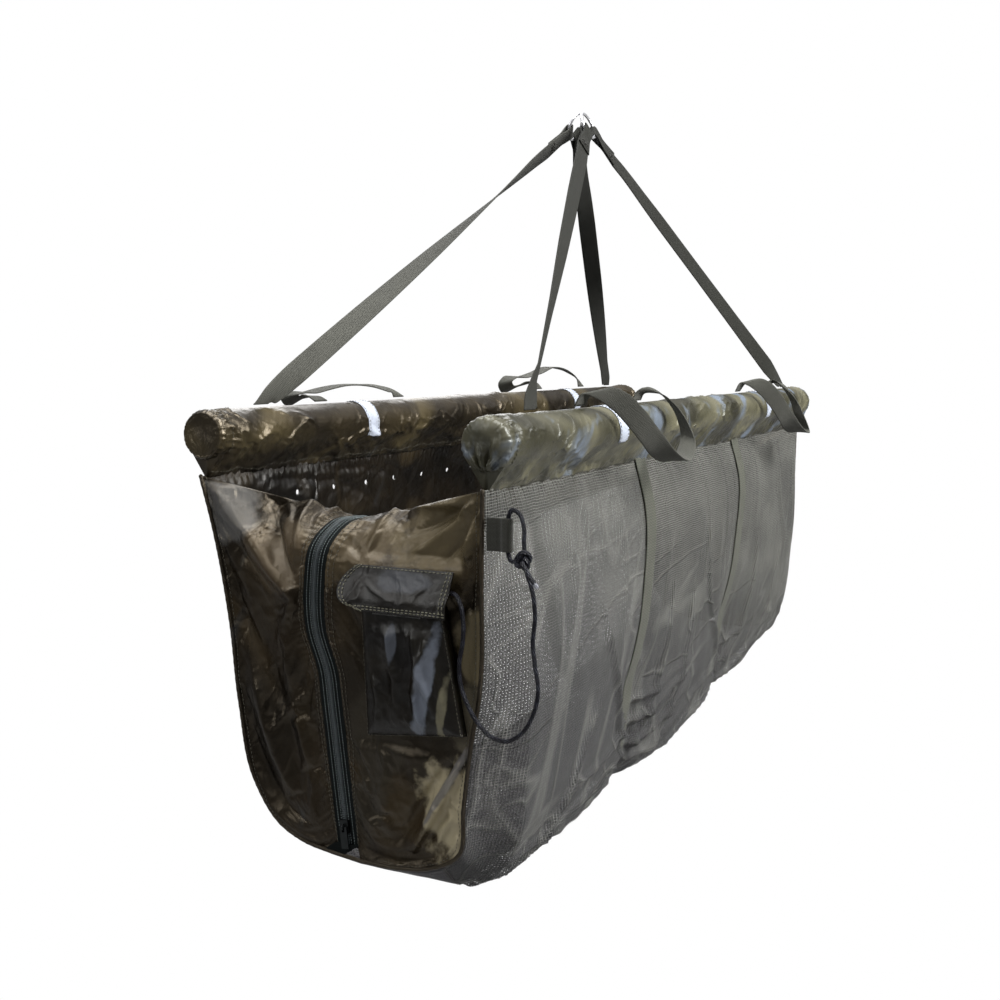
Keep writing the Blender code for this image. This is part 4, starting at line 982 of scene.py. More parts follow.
def stitchRow(name, lines, finish, body, pitch=stitch["pitch"], length=stitch["length"], radius=0.00028):
    # sewn stitches along one or more lines; each line is its points and the cloth's normals
    thread, threadFaces = oneStitch()
    arch = np.sin(thread[:, :1] * math.pi) * radius * 0.5
    verts, faces = [], []
    for points, normals in lines:
        points, normals = np.array(points, float), np.array(normals, float)
        run = walked(points)
        for start in np.arange(0, run[-1] - length, pitch):
            foot = readAlong(points, run, start)
            along = readAlong(points, run, start + length) - foot
            up = unit(readAlong(normals, run, start + length / 2))
            across = unit(np.cross(up, along))
            placed = foot + up * (radius * 0.55) + thread[:, :1] * along + across * thread[:, 1:2] * radius
            placed = placed + up * (thread[:, 2:3] * radius + arch)
            faces += [tuple(i + len(verts) for i in face) for face in threadFaces]
            verts += [tuple(p) for p in placed]
    return wornBy(facesPiece(name, verts, faces, finish), body)


def besideRows(grid, facing, lift, rows=(), columns=()):
    # lines for stitches along some rows and columns of a cloth, a little in front of it
    lines = [(grid[:, c] + facing[:, c] * lift, facing[:, c]) for c in columns]
    return lines + [(grid[r] + facing[r] * lift, facing[r]) for r in rows]


def knotExit(direction):
    away = unit(np.array(direction, float))
    reach = 1 / np.linalg.norm(away / np.array(knot["size"]))
    middle = np.array(knot["place"])
    return [tuple(middle + away * (reach + 0.0006)), tuple(middle + away * (reach + cordSizes["radius"]))]


def pocketPoint(across, up, out):
    behind = sling["endX"] + sling["cloth"] / 2 + pocketPlace["clearance"]
    corner = np.array([-behind, -pocketPlace["inset"], -pocketPlace["drop"] - sling["hookHeight"]])
    across, up, out = np.broadcast_arrays(across, up, out)
    return corner + np.stack([-out, -across, up], axis=-1)


def hankPoints():
    # an oblong spiral in, a climb to the second layer, and a spiral out
    loops, pitch, steps = cordSizes["loops"], cordSizes["pitch"], cordSizes["steps"]
    outer = cordSizes["innerRadius"] + loops * pitch
    half = cordSizes["straight"] / 2
    bend = steps // 3
    points = []
    for step in range(2 * loops * steps + 1):
        turns = step / steps
        radius = outer - pitch * (turns if turns < loops else 2 * loops - turns)
        climb = min(max((turns - loops) * 2 + 0.5, 0), 1)
        layer = pitch * (climb * climb * (3 - 2 * climb) - 0.5)
        lower, within = divmod((step + bend) % steps, steps // 2)
        flip = -1 if lower else 1
        if within <= bend:
            angle = math.pi * within / bend
            u, v = -radius * math.cos(angle), half + radius * math.sin(angle)
        else:
            u, v = radius, half - 2 * half * (within - bend) / (steps // 2 - bend)
        points.append((flip * u, flip * v, layer))
    points.insert(0, tuple(np.array(points[0]) + (0, 2.5 * cordSizes["radius"], 0)))
    points.append(tuple(np.array(points[-1]) - (0, 2 * cordSizes["radius"], 0)))
    across, up = cordSizes["middle"]
    out = (pocketPlace["depth"] - pocketPlace["wall"]) / 2
    return [pocketPoint(u + across, v + up, w + out) for u, v, w in points]


def cordPiece(name, path, nodes, radius=cordSizes["radius"]):
    piece = tubePiece(name, path, radius, finishes["cord"], "bag", nodes)
    return piece


def makeCords():
    hank = hankPoints()
    route = [cornerPlace(p) for p in [*knotExit((0, -0.3, -1)), *cordRoute]]
    mouth = hank[0] + np.array([0, 0, 0.016])
    whole = route + [mouth, hank[0] + np.array([0, 0, 2 * cordSizes["radius"]])]
    path = np.vstack([smoothAlong(whole, np.linspace(0, 1, 190)), hank[1:]])
    cord = cordPiece("retentionCord", path, ["retention_cord", "cord_hank"])
    loopEnds = [knotExit(d) for d in ((-0.2, 0, 1), (-0.45, 1, -0.2))]
    loopRoute = [cornerPlace(p) for p in [*loopEnds[0], *cordLoopRoute, *loopEnds[1][::-1]]]
    loopPath = smoothAlong(loopRoute, np.linspace(0, 1, 90))
    loop = cordPiece("cordLoop", loopPath, ["cord_loop"])
    tailRoute = [cornerPlace(p) for p in [*knotExit((1, -0.35, -0.15)), *cordTailRoute]]
    tail = cordPiece("cordTail", smoothAlong(tailRoute, np.linspace(0, 1, 16)), ["cord_tail"])
    # the knot: two crossing wraps drawn tight
    turn = np.linspace(0, 2 * math.pi, 120)[:-1]
    turn = np.append(turn, turn[0])
    wraps = np.stack([
        0.0032 * np.sin(3 * turn),
        (0.0043 + 0.0021 * np.cos(3 * turn)) * np.cos(2 * turn),
        (0.0052 + 0.0023 * np.cos(3 * turn)) * np.sin(2 * turn),
    ], axis=1)
    tied = cordPiece("cordKnot", cornerPlace(knot["place"]) + wraps, ["cord_knot"], knot["radius"])


makeCords()


wall = {"columns": 380, "rows": 116, "thickness": 0.0007, "lap": 0.003}
skirt = {"columns": 600, "rows": 64, "thickness": 0.0006}


def wallFolds(side, grid, shares, stations):
    # how far the cloth stands out of its plain surface, in metres
    x = np.broadcast_to(stations[None, :], grid.shape[:2])
    s = np.broadcast_to((shares * girth)[:, None], grid.shape[:2])
    seed = 11 if side < 0 else 31
    hanging = 0.0018 * cloudNoise(x * 16, s * 3.2, seed) + 0.0013 * cloudNoise(x * 34, s * 5, seed + 1)
    lower = smoothStep(s, 0.16, 0.42)
    crumple = 0.0026 * (creaseNoise(x * 11 + s * 6, s * 8 - x * 4, seed + 2) - 0.45) * lower
    relax = smoothStep(s, 0.0, 0.02)
    edge = smoothStep(sling["endX"] - np.abs(x), 0.0, 0.012)
    waves = np.sin(x * 2 * math.pi / 0.011 + 2 * cloudNoise(x * 30, s * 9, seed + 4))
    pucker = 0.0009 * waves * np.exp(-s / 0.012)
    drawn = foldField(x, s, wallCreases[side]) * relax
    near = np.exp(-(((np.abs(x) - pinch["station"]) / 0.045) ** 2))
    waves = np.sin(x * 2 * math.pi / 0.019 + 3 * cloudNoise(x * 9, s * 9, seed + 6))
    tight = 0.0028 * waves * near * smoothStep(s, 0.2, 0.34)
    calm = 1 - 0.55 * smoothStep(s, 0.36, 0.46)
    calm = calm * (1 - 0.85 * np.exp(-(((np.abs(x) - pinch["station"]) / 0.024) ** 4)))
    return (((hanging + crumple + tight) * relax + drawn) * calm + pucker) * edge


wallCreases = {
    -1: [
        ([(-0.56, 0.37), (-0.4, 0.36), (-0.215, 0.345), (0.02, 0.27)], 0.0052, 0.009),
        ([(-0.55, 0.405), (-0.36, 0.39), (-0.15, 0.36), (0.05, 0.3)], 0.0052, 0.008),
        ([(-0.46, 0.335), (-0.25, 0.315), (-0.02, 0.275)], 0.005, 0.008),
        ([(-0.35, 0.41), (-0.12, 0.38), (0.12, 0.32), (0.2, 0.26)], 0.005, 0.008),
        ([(-0.14, 0.42), (0.1, 0.37), (0.3, 0.3)], 0.005, 0.008),
        ([(0.1, 0.43), (0.28, 0.38), (0.46, 0.3)], 0.0052, 0.008),
        ([(-0.585, 0.44), (-0.52, 0.4), (-0.42, 0.3), (-0.34, 0.22)], 0.0052, 0.007),
        ([(-0.19, 0.4), (-0.15, 0.34), (-0.12, 0.24), (-0.1, 0.16)], 0.0052, 0.007),
        ([(-0.17, 0.42), (-0.09, 0.36), (-0.05, 0.28), (-0.02, 0.18)], 0.0052, 0.007),
        ([(-0.23, 0.4), (-0.27, 0.32), (-0.33, 0.22), (-0.36, 0.14)], 0.0055, 0.007),
        ([(0.22, 0.4), (0.27, 0.32), (0.3, 0.24), (0.31, 0.15)], 0.0055, 0.007),
        ([(0.17, 0.4), (0.12, 0.3), (0.06, 0.22), (0.04, 0.12)], 0.0055, 0.006),
        ([(0.34, 0.4), (0.42, 0.31), (0.47, 0.2)], 0.006, 0.007),
        ([(-0.3, 0.02), (-0.28, 0.12), (-0.31, 0.24)], 0.009, 0.004),
        ([(-0.45, 0.02), (-0.43, 0.1), (-0.46, 0.2)], 0.009, 0.004),
        ([(0.02, 0.02), (0.04, 0.12), (0.02, 0.22)], 0.009, 0.004),
        ([(0.42, 0.02), (0.44, 0.12), (0.5, 0.22)], 0.009, 0.004),
    ],
    1: [
        ([(-0.5, 0.42), (-0.35, 0.34), (-0.22, 0.3)], 0.007, 0.006),
        ([(-0.3, 0.46), (-0.15, 0.4), (0.0, 0.32)], 0.007, 0.006),
        ([(0.2, 0.42), (0.32, 0.34), (0.4, 0.22)], 0.007, 0.006),
        ([(-0.1, 0.2), (-0.05, 0.3), (-0.07, 0.4)], 0.009, 0.004),
        ([(-0.58, 0.02), (-0.45, 0.05), (-0.33, 0.11)], 0.008, 0.003),
        ([(-0.5, 0.015), (-0.36, 0.03), (-0.24, 0.08)], 0.006, 0.0024),
        ([(-0.42, 0.01), (-0.3, 0.016), (-0.16, 0.05)], 0.006, 0.0022),
        ([(-0.28, 0.006), (-0.2, 0.03), (-0.17, 0.075)], 0.006, 0.0026),
        ([(-0.12, 0.01), (-0.02, 0.04), (0.06, 0.11)], 0.008, 0.0026),
        ([(0.1, 0.01), (0.2, 0.03), (0.32, 0.1)], 0.008, 0.0026),
        ([(0.3, 0.012), (0.42, 0.03), (0.55, 0.05)], 0.008, 0.003),
    ],
}


def cordedWall(side, shares, stations, lift=0.0):
    grid = wallGrid(side, stations, shares)
    out = outwards(grid, 1, side)
    raised = wallFolds(side, grid, np.asarray(shares), stations)
    return grid + out * (raised + lift)[..., None], out


def makeWalls():
    stations = np.linspace(-sling["endX"], sling["endX"], wall["columns"])
    lap = wall["lap"] / girth
    rightShares = np.linspace(0, floorShare + lap, wall["rows"])
    grid, out = cordedWall(-1, rightShares, stations)
    rests, nodes = ["right_float_sleeve"], ["right_mesh_side"]
    clothSheet("rightNet", grid, finishes["net"], wall["thickness"], nodes)
    hems = [(grid[1], out[1]), (grid[2] + (grid[2] - grid[1]) * 0.2, out[2])]
    leftShares = np.linspace(skirtShare - lap, floorShare + lap, 84)
    grid, _ = cordedWall(1, leftShares, stations, -0.0008)
    rests, nodes = ["left_skirt"], ["left_mesh_side"]
    clothSheet("leftNet", grid[:, ::-1], finishes["net"], wall["thickness"], nodes)
    makeSkirt(lap)
    stitchRow("netHemStitches", hems, finishes["thread"], "bag", 0.0045, 0.0033)
    floorShares = np.linspace(floorShare - lap, 1, 40)
    right, out = cordedWall(-1, floorShares, stations, 0.0011)
    left, _ = cordedWall(1, floorShares, stations, 0.0011)
    whole = np.concatenate([right, left[-2::-1]])
    rests = ["right_mesh_side", "left_mesh_side"]
    clothSheet("floorNet", whole, finishes["floorNet"], 0.0009, ["floor_panel"])
    seams = besideRows(right, out, 0.0005, rows=(0, 1))
    stitchRow("floorSeamStitches", seams, finishes["thread"], "bag", 0.004)


def makeSkirt(lap):
    stations = np.linspace(-sling["endX"], sling["endX"], skirt["columns"])
    shares = np.linspace(0, skirtShare + lap, skirt["rows"])
    grid, out = cordedWall(1, shares, stations)
    x, s = stations[None, :], shares[:, None]
    grain = 0.0016 * (creaseNoise(x * 24 + s * 20, s * girth * 26 - x * 6, 33) - 0.5)
    grid = grid + out * (grain * smoothStep(s * girth, 0.002, 0.02))[..., None]
    row = int(np.argmin(np.abs(shares - drainHoles["drop"] / girth)))
    drops = []
    for k in range(drainHoles["count"]):
        hole = (k - drainHoles["count"] // 2) * drainHoles["pitch"]
        column = int(np.argmin(np.abs(stations - hole)))
        drops.append((tuple(grid[row, column]), drainHoles["radius"]))
    rests, finish = ["left_float_sleeve"], finishes["skirtCamouflage"]
    clothSheet("leftSkirt", grid[:, ::-1], finish, skirt["thickness"], ["left_skirt"], drops=drops)
    hem = int(len(shares) * 0.94)
    seams = [(grid[hem] + out[hem] * face * 0.0003, out[hem] * face) for face in (1, -1)]
    stitchRow("skirtHemStitches", seams, finishes["thread"], "bag", 0.0045, 0.0033)


makeWalls()
print("walls made")


belly = {"width": 0.032, "thickness": 0.0014, "lift": 0.0021}


def makeBellyStraps():
    shares = np.linspace(0.0, 1.0, 170)
    for endName, end in ends.items():
        stations = end * pinch["station"] + np.linspace(-0.017, 0.017, 9)
        centres, acrosses = [], []
        for side in (-1, 1):
            grid = wallGrid(side, stations, shares)
            out = outwards(grid, 1, side)
            folded, _ = cordedWall(side, shares, stations)
            raised = np.sum((folded - grid) * out, axis=2).max(axis=1)
            raised = np.convolve(np.pad(raised, 3, "edge"), np.ones(7) / 7, "valid")
            points = grid[:, 4] + out[:, 4] * (belly["lift"] + np.maximum(raised, -0.001))[:, None]
            wide = grid[:, -1] - grid[:, 0]
            order = slice(None) if side < 0 else slice(-2, None, -1)
            centres.append(points[order])
            acrosses.append(wide[order])
        ribbonPiece(
            f"{endName}BellyStrap", np.vstack(centres), np.vstack(acrosses), belly["width"], belly["thickness"],
            finishes["bellyWebbing"], "bag", [f"{endName}_belly_strap"],
        )


makeBellyStraps()
print("belly straps made")


zipSizes = {
    "coilWidth": 0.0055, "tapeWidth": 0.008, "gap": 0.0012, "toothPitch": 0.0019,
    "toothHalf": 0.0029, "toothHeight": 0.0011, "wireRadius": 0.00062, "tape": 0.0009, "tapeLap": 0.0016,
    "underWidth": 0.0074, "underDrop": 0.0012, "under": 0.0006, "seams": (-0.0042, -0.0078, 0.0042, 0.0078),
    "tabWidth": 0.026, "tabLift": 0.0026, "tabLap": 0.003,
}
tapeMiddle = zipSizes["coilWidth"] / 2 + zipSizes["gap"] / 2 + zipSizes["tapeWidth"] / 2
panel = {"rows": 250, "columns": 128, "thickness": 0.0006, "drop": 0.43}
gatherPoint = (0.16, -0.038)
panelCreases = {
    1: [
        ([(0.15, -0.05), (0.121, -0.077), (0.083, -0.112), (0.044, -0.151), (0.034, -0.2)], 0.010, 0.012),
        ([(0.092, -0.05), (0.078, -0.085), (0.058, -0.12), (0.046, -0.143)], 0.007, -0.012),
        ([(0.074, -0.05), (0.052, -0.08), (0.036, -0.115)], 0.006, 0.007),
        ([(0.05, -0.052), (0.036, -0.075), (0.028, -0.1)], 0.004, 0.005),
        ([(0.145, -0.08), (0.12, -0.16), (0.085, -0.23), (0.05, -0.26)], 0.016, -0.008),
        ([(0.105, -0.18), (0.078, -0.28), (0.052, -0.35)], 0.010, 0.008),
        ([(0.062, -0.17), (0.05, -0.25), (0.028, -0.32)], 0.007, 0.006),
        ([(0.13, -0.2), (0.112, -0.28), (0.07, -0.37)], 0.012, -0.006),
        ([(0.04, -0.27), (0.03, -0.33), (0.02, -0.38)], 0.006, 0.005),
    ],
    -1: [
        ([gatherPoint, (0.12, -0.05), (0.055, -0.068)], 0.0055, 0.008),
        ([gatherPoint, (0.125, -0.06), (0.065, -0.086)], 0.005, -0.007),
        ([gatherPoint, (0.13, -0.073), (0.075, -0.106)], 0.0055, 0.008),
        ([gatherPoint, (0.137, -0.082), (0.1, -0.122)], 0.005, -0.007),
        ([gatherPoint, (0.145, -0.09), (0.132, -0.14)], 0.005, 0.007),
        ([gatherPoint, (0.15, -0.1), (0.146, -0.17)], 0.004, -0.005),
        ([gatherPoint, (0.154, -0.11), (0.152, -0.2)], 0.0045, 0.006),
        ([(0.04, -0.06), (0.034, -0.08), (0.03, -0.11)], 0.004, 0.005),
        ([(0.146, -0.15), (0.141, -0.21), (0.15, -0.27)], 0.0045, 0.006),
        ([(0.15, -0.2), (0.146, -0.25), (0.137, -0.31)], 0.004, 0.005),
        ([(0.1395, -0.285), (0.112, -0.33), (0.082, -0.384)], 0.0055, 0.011),
        ([(0.125, -0.29), (0.095, -0.33), (0.066, -0.38)], 0.007, -0.006),
        ([(0.06, -0.29), (0.05, -0.34), (0.03, -0.39)], 0.009, 0.006),
        ([(0.02, -0.2), (0.018, -0.29), (0.014, -0.37)], 0.006, 0.004),
    ],
}


def panelFolds(end, side, grid):
    # how far an end panel's cloth stands out of its plane, positive outwards
    y, z = np.abs(grid[..., 1]) if side > 0 else -grid[..., 1], grid[..., 2] + sling["hookHeight"]
    seed = 50 + 7 * end + 3 * side
    broad = 0.004 * cloudNoise(y * 9, z * 6, seed)
    drawn = foldField(y, z, panelCreases[side])
    creased = 0.0035 * (creaseNoise(y * 9 + z * 3, z * 5 - y * 4, seed + 1, 2.2) - 0.4)
    return broad + drawn + creased


def crumpleFolds(end, side, grid):
    # small sharp creases, strongest near the gathers and in the lower corner
    y, z = -grid[..., 1] if side < 0 else grid[..., 1], grid[..., 2] + sling["hookHeight"]
    seed = 150 + 7 * end + 3 * side
    corner = np.exp(-(((y - 0.125) / 0.035) ** 2) - (((z + 0.355) / 0.05) ** 2)) if side < 0 else 0
    top = smoothStep(z, -0.16, -0.06)
    amount = 0.0004 + 0.0012 * top + 0.0062 * corner
    return amount * (creaseNoise(y * 34 + z * 8, z * 26 - y * 14, seed, 2.4) - 0.35)


def makePanels():
    shares = np.linspace(0, 1, 130)
    across = np.linspace(0, 1, 62)
    panelStart = tapeMiddle + zipSizes["tapeWidth"] / 2
    ending = smoothStep(shares, 0, 0.02)[:, None] * smoothStep(1 - shares, 0, 0.05)[:, None]
    for endName, end in ends.items():
        line = zipPoints(end, shares)
        for sideName, side in sides.items():
            edge = panelEdge(end, side, shares)
            outer = edge - squareTo(edge, side) * sling["seamGap"] / 2
            inner = line + np.array([0, side * panelStart, 0])
            plain = inner[:, None] * (1 - across)[None, :, None] + outer[:, None] * across[None, :, None]
            width = np.linalg.norm(outer - inner, axis=1)[:, None]
            fromZip = across[None, :] * width
            inset = np.minimum(fromZip, (1 - across)[None, :] * width)
            out = outwards(plain, 0, end)
            folds = panelFolds(end, side, plain) * smoothStep(inset, 0.0, 0.016) * ending
            start = plain + out * folds[..., None]
            held = (inset < 1e-6) | (shares[:, None] > 0.999) | (shares[:, None] < 0.001)
            start = settle(start, held, 0.012, frames=10, bend=1.0, gravity=0.1, reach=0.006)

            def finer(values):
                # a grid of vectors, or of numbers, at the finished panel's fineness
                whole = np.broadcast_to(values, inset.shape)[..., None] if values.ndim < 3 else values
                fine = refine(np.array(whole), panel["rows"], panel["columns"])
                return fine[..., 0] if values.ndim < 3 else fine

            grid = finer(start)
            fineInset = finer(np.minimum(inset, 0.03))
            beside = np.exp(-finer(fromZip) / 0.008) * smoothStep(fineInset, 0.0, 0.003)
            run = finer(shares[:, None]) * panel["drop"]
            waves = np.sin(run * 2 * math.pi / 0.0075 + 3 * cloudNoise(run * 30, fineInset * 60, 7 + side))
            small = crumpleFolds(end, side, grid) * smoothStep(fineInset, 0.0, 0.006) * finer(ending)
            grid = grid + unit(finer(out)) * (small + 0.0008 * waves * beside)[..., None]
            if end < 0 and side < 0:
                grid = keepBehindPocket(grid, finer(plain))
            name = f"{endName}{sideName.title()}Panel"
            rests, nodes = [f"{sideName}_float_sleeve"], [f"{endName}_{sideName}_end_panel"]
            turned = grid[:, ::-1] if end * side < 0 else grid
            clothSheet(name, turned, finishes["bagCamouflage"], panel["thickness"], nodes)
            seams = besideRows(grid, outwards(grid, 0, end), 0.0004, columns=(3, 7, -5))
            stitchRow(f"{name}Stitches", seams, finishes["thread"], "bag", radius=0.0003)


def keepBehindPocket(grid, plain):
    # the panel's cloth never comes forward through the pocket that is sewn on it
    y, z = grid[..., 1], grid[..., 2] + sling["hookHeight"]
    middle, half = pocketPlace["middle"], pocketPlace["half"]
    beyond = np.maximum(np.abs(y - middle[0]) - half[0], np.abs(z - middle[1]) - half[1])
    free = smoothStep(beyond, -0.004, 0.01)
    forward = grid[..., 0] < plain[..., 0]
    kept = plain[..., 0] + (grid[..., 0] - plain[..., 0]) * free
    grid = grid.copy()
    grid[..., 0] = np.where(forward, kept, grid[..., 0])
    # the lifted flap lies on this part, which is drawn in behind it
    above = z + pocketPlace["flapHinge"]
    beside = np.abs(y - pocketPlace["flapMiddle"]) - pocketPlace["flapHalf"]
    drawnIn = smoothStep(above, 0.0, 0.012) * smoothStep(above, 0.062, 0.048) * smoothStep(beside, 0.014, 0.0)
    forward = np.maximum(plain[..., 0] - grid[..., 0], 0)
    grid[..., 0] += (0.55 * forward + pocketPlace["drawnIn"]) * drawnIn
    return grid


binding = {"radius": 0.0021, "uneven": 0.00015, "wave": 0.009, "out": 0.0006}


def makeBindings():
    # a bound seam round each end, over the edges of panel and sides
    shares = np.linspace(0, 1, 150)
    for endName, end in ends.items():
        path = np.concatenate([panelEdge(end, -1, shares), panelEdge(end, 1, shares)[-2::-1]])
        path = path + np.array([end * binding["out"], 0, 0])
        run = walked(path)
        waves = np.sin(run * 2 * math.pi / binding["wave"] + 2 * cloudNoise(run * 40, run * 0, 77))
        radius = binding["radius"] + binding["uneven"] * waves
        tubePiece(f"{endName}Binding", path, radius, finishes["binding"], "bag", around=12)


def makeZips():
    shares = np.linspace(0, 1, 260)
    tape = finishes["tape"]
    for endName, end in ends.items():
        line = zipPoints(end, shares)
        tangents = unit(np.gradient(line, axis=0))
        wide = np.tile((0.0, 1.0, 0.0), (len(line), 1))
        out = unit(np.cross(wide, tangents))
        out = out * np.sign(np.mean(out[:, 0]) * end)
        for sideName, side in sides.items():
            name, nodes = f"{endName}{sideName.title()}ZipTape", [f"{endName}_{sideName}_zip_tape"]
            width = zipSizes["tapeWidth"] + zipSizes["tapeLap"]
            ribbonPiece(name, line + wide * side * tapeMiddle, wide, width, zipSizes["tape"], tape, "bag", nodes)
        rows = [(line + wide * off + out * 0.0005, out) for off in zipSizes["seams"]]
        stitchRow(f"{endName}ZipStitches", rows, finishes["zipThread"], "bag", 0.0026, 0.0017)
        below, width = line - out * zipSizes["underDrop"], zipSizes["underWidth"]
        ribbonPiece(f"{endName}ZipUnder", below, wide, width, zipSizes["under"], tape, "bag")
        makeTeeth(f"{endName}ZipCoil", line, out, [f"{endName}_zip_coil"])
        # a sewn tab closes the end between the zip and the seam
        top = line[-1] + np.array([end * zipSizes["tabLift"], 0, zipSizes["tabLap"]])
        foot = panelEdge(end, 1, np.array([1.0]))[0] + np.array([end * zipSizes["tabLift"] / 2, 0, 0.0005])
        share = np.linspace(0, 1, 24)[:, None]
        tab = top * (1 - share) + foot * share
        ribbonPiece(f"{endName}ZipTab", tab, wide[:24], zipSizes["tabWidth"], 0.0008, tape, "bag", bow=0.0006)


def makeTeeth(name, line, out, nodes):
    # a coil zip: bent loops of square wire that reach in from both sides by turns
    run = walked(line)
    loop = [(-1.0, 0.0), (-0.95, 0.75), (-0.4, 1.0), (0.12, 0.85), (0.3, 0.1)]
    half, height, radius = zipSizes["toothHalf"], zipSizes["toothHeight"], zipSizes["wireRadius"]
    y = np.array([0.0, 1.0, 0.0])
    verts, faces = [], []
    for k in range(2 * int(run[-1] / zipSizes["toothPitch"])):
        side = -1 if k % 2 else 1
        at = (k + 0.5) * zipSizes["toothPitch"] / 2
        middle, up = readAlong(line, run, at), unit(readAlong(out, run, at))
        ahead = unit(np.cross(y, up))
        start = len(verts)
        for inward, raised in loop:
            ringMiddle = middle + y * side * inward * half + up * (raised * height)
            for corner in range(4):
                angle = math.pi / 4 + corner * math.pi / 2
                off = ahead * radius * math.cos(angle) + up * radius * 0.8 * math.sin(angle)
                verts.append(tuple(ringMiddle + off))
        for ring in range(len(loop) - 1):
            for corner in range(4):
                after = (corner + 1) % 4
                low, high = start + ring * 4, start + ring * 4 + 4
                faces.append((low + corner, low + after, high + after, high + corner))
        faces.append(tuple(start + corner for corner in (3, 2, 1, 0)))
        faces.append(tuple(len(verts) - 4 + corner for corner in range(4)))
    wornBy(facesPiece(name, verts, faces, finishes["coil"]), "bag", *nodes)


makePanels()
makeBindings()
makeZips()
print("end panels and zips made")


floats = {
    "columns": 250, "around": 52, "fine": (112, 700), "radius": 0.0247, "foot": 0.0425, "footHalf": 0.0014,
    "capBulge": 0.009, "slack": 0.045, "seam": 0.01, "onFoam": 0.0244, "ease": 0.0005, "handleAt": 0.3,
    "calm": 0.0018, "settled": 0.0014, "highest": 0.0055,
}
cap = {"around": 150, "rings": 36, "rim": 0.0006, "reach": 0.0102, "folds": 11}
band = {"station": 0.313, "half": 0.0125, "lean": 0.01, "thickness": 0.0004, "lift": 0.0007}


def sleeveSection():
    # a drop shape: round the foam, then straight down to the seam
    radius, foot = floats["radius"], floats["foot"]
    leave = math.pi - math.acos(radius / foot)
    angles = np.linspace(-leave, leave, floats["around"])
    ring = np.stack([np.sin(angles) * radius, np.cos(angles) * radius], axis=1)
    shares = np.linspace(0, 1, 9)[:-1, None]
    left = np.array([[-floats["footHalf"], -foot]]) * (1 - shares) + ring[0] * shares
    right = left[::-1] * np.array([-1, 1])
    return np.concatenate([left, ring, right])


def softened(rise, step):
    # a number that follows the rise above 0 and eases to 0 below it
    return step * np.log1p(np.exp(rise / step))


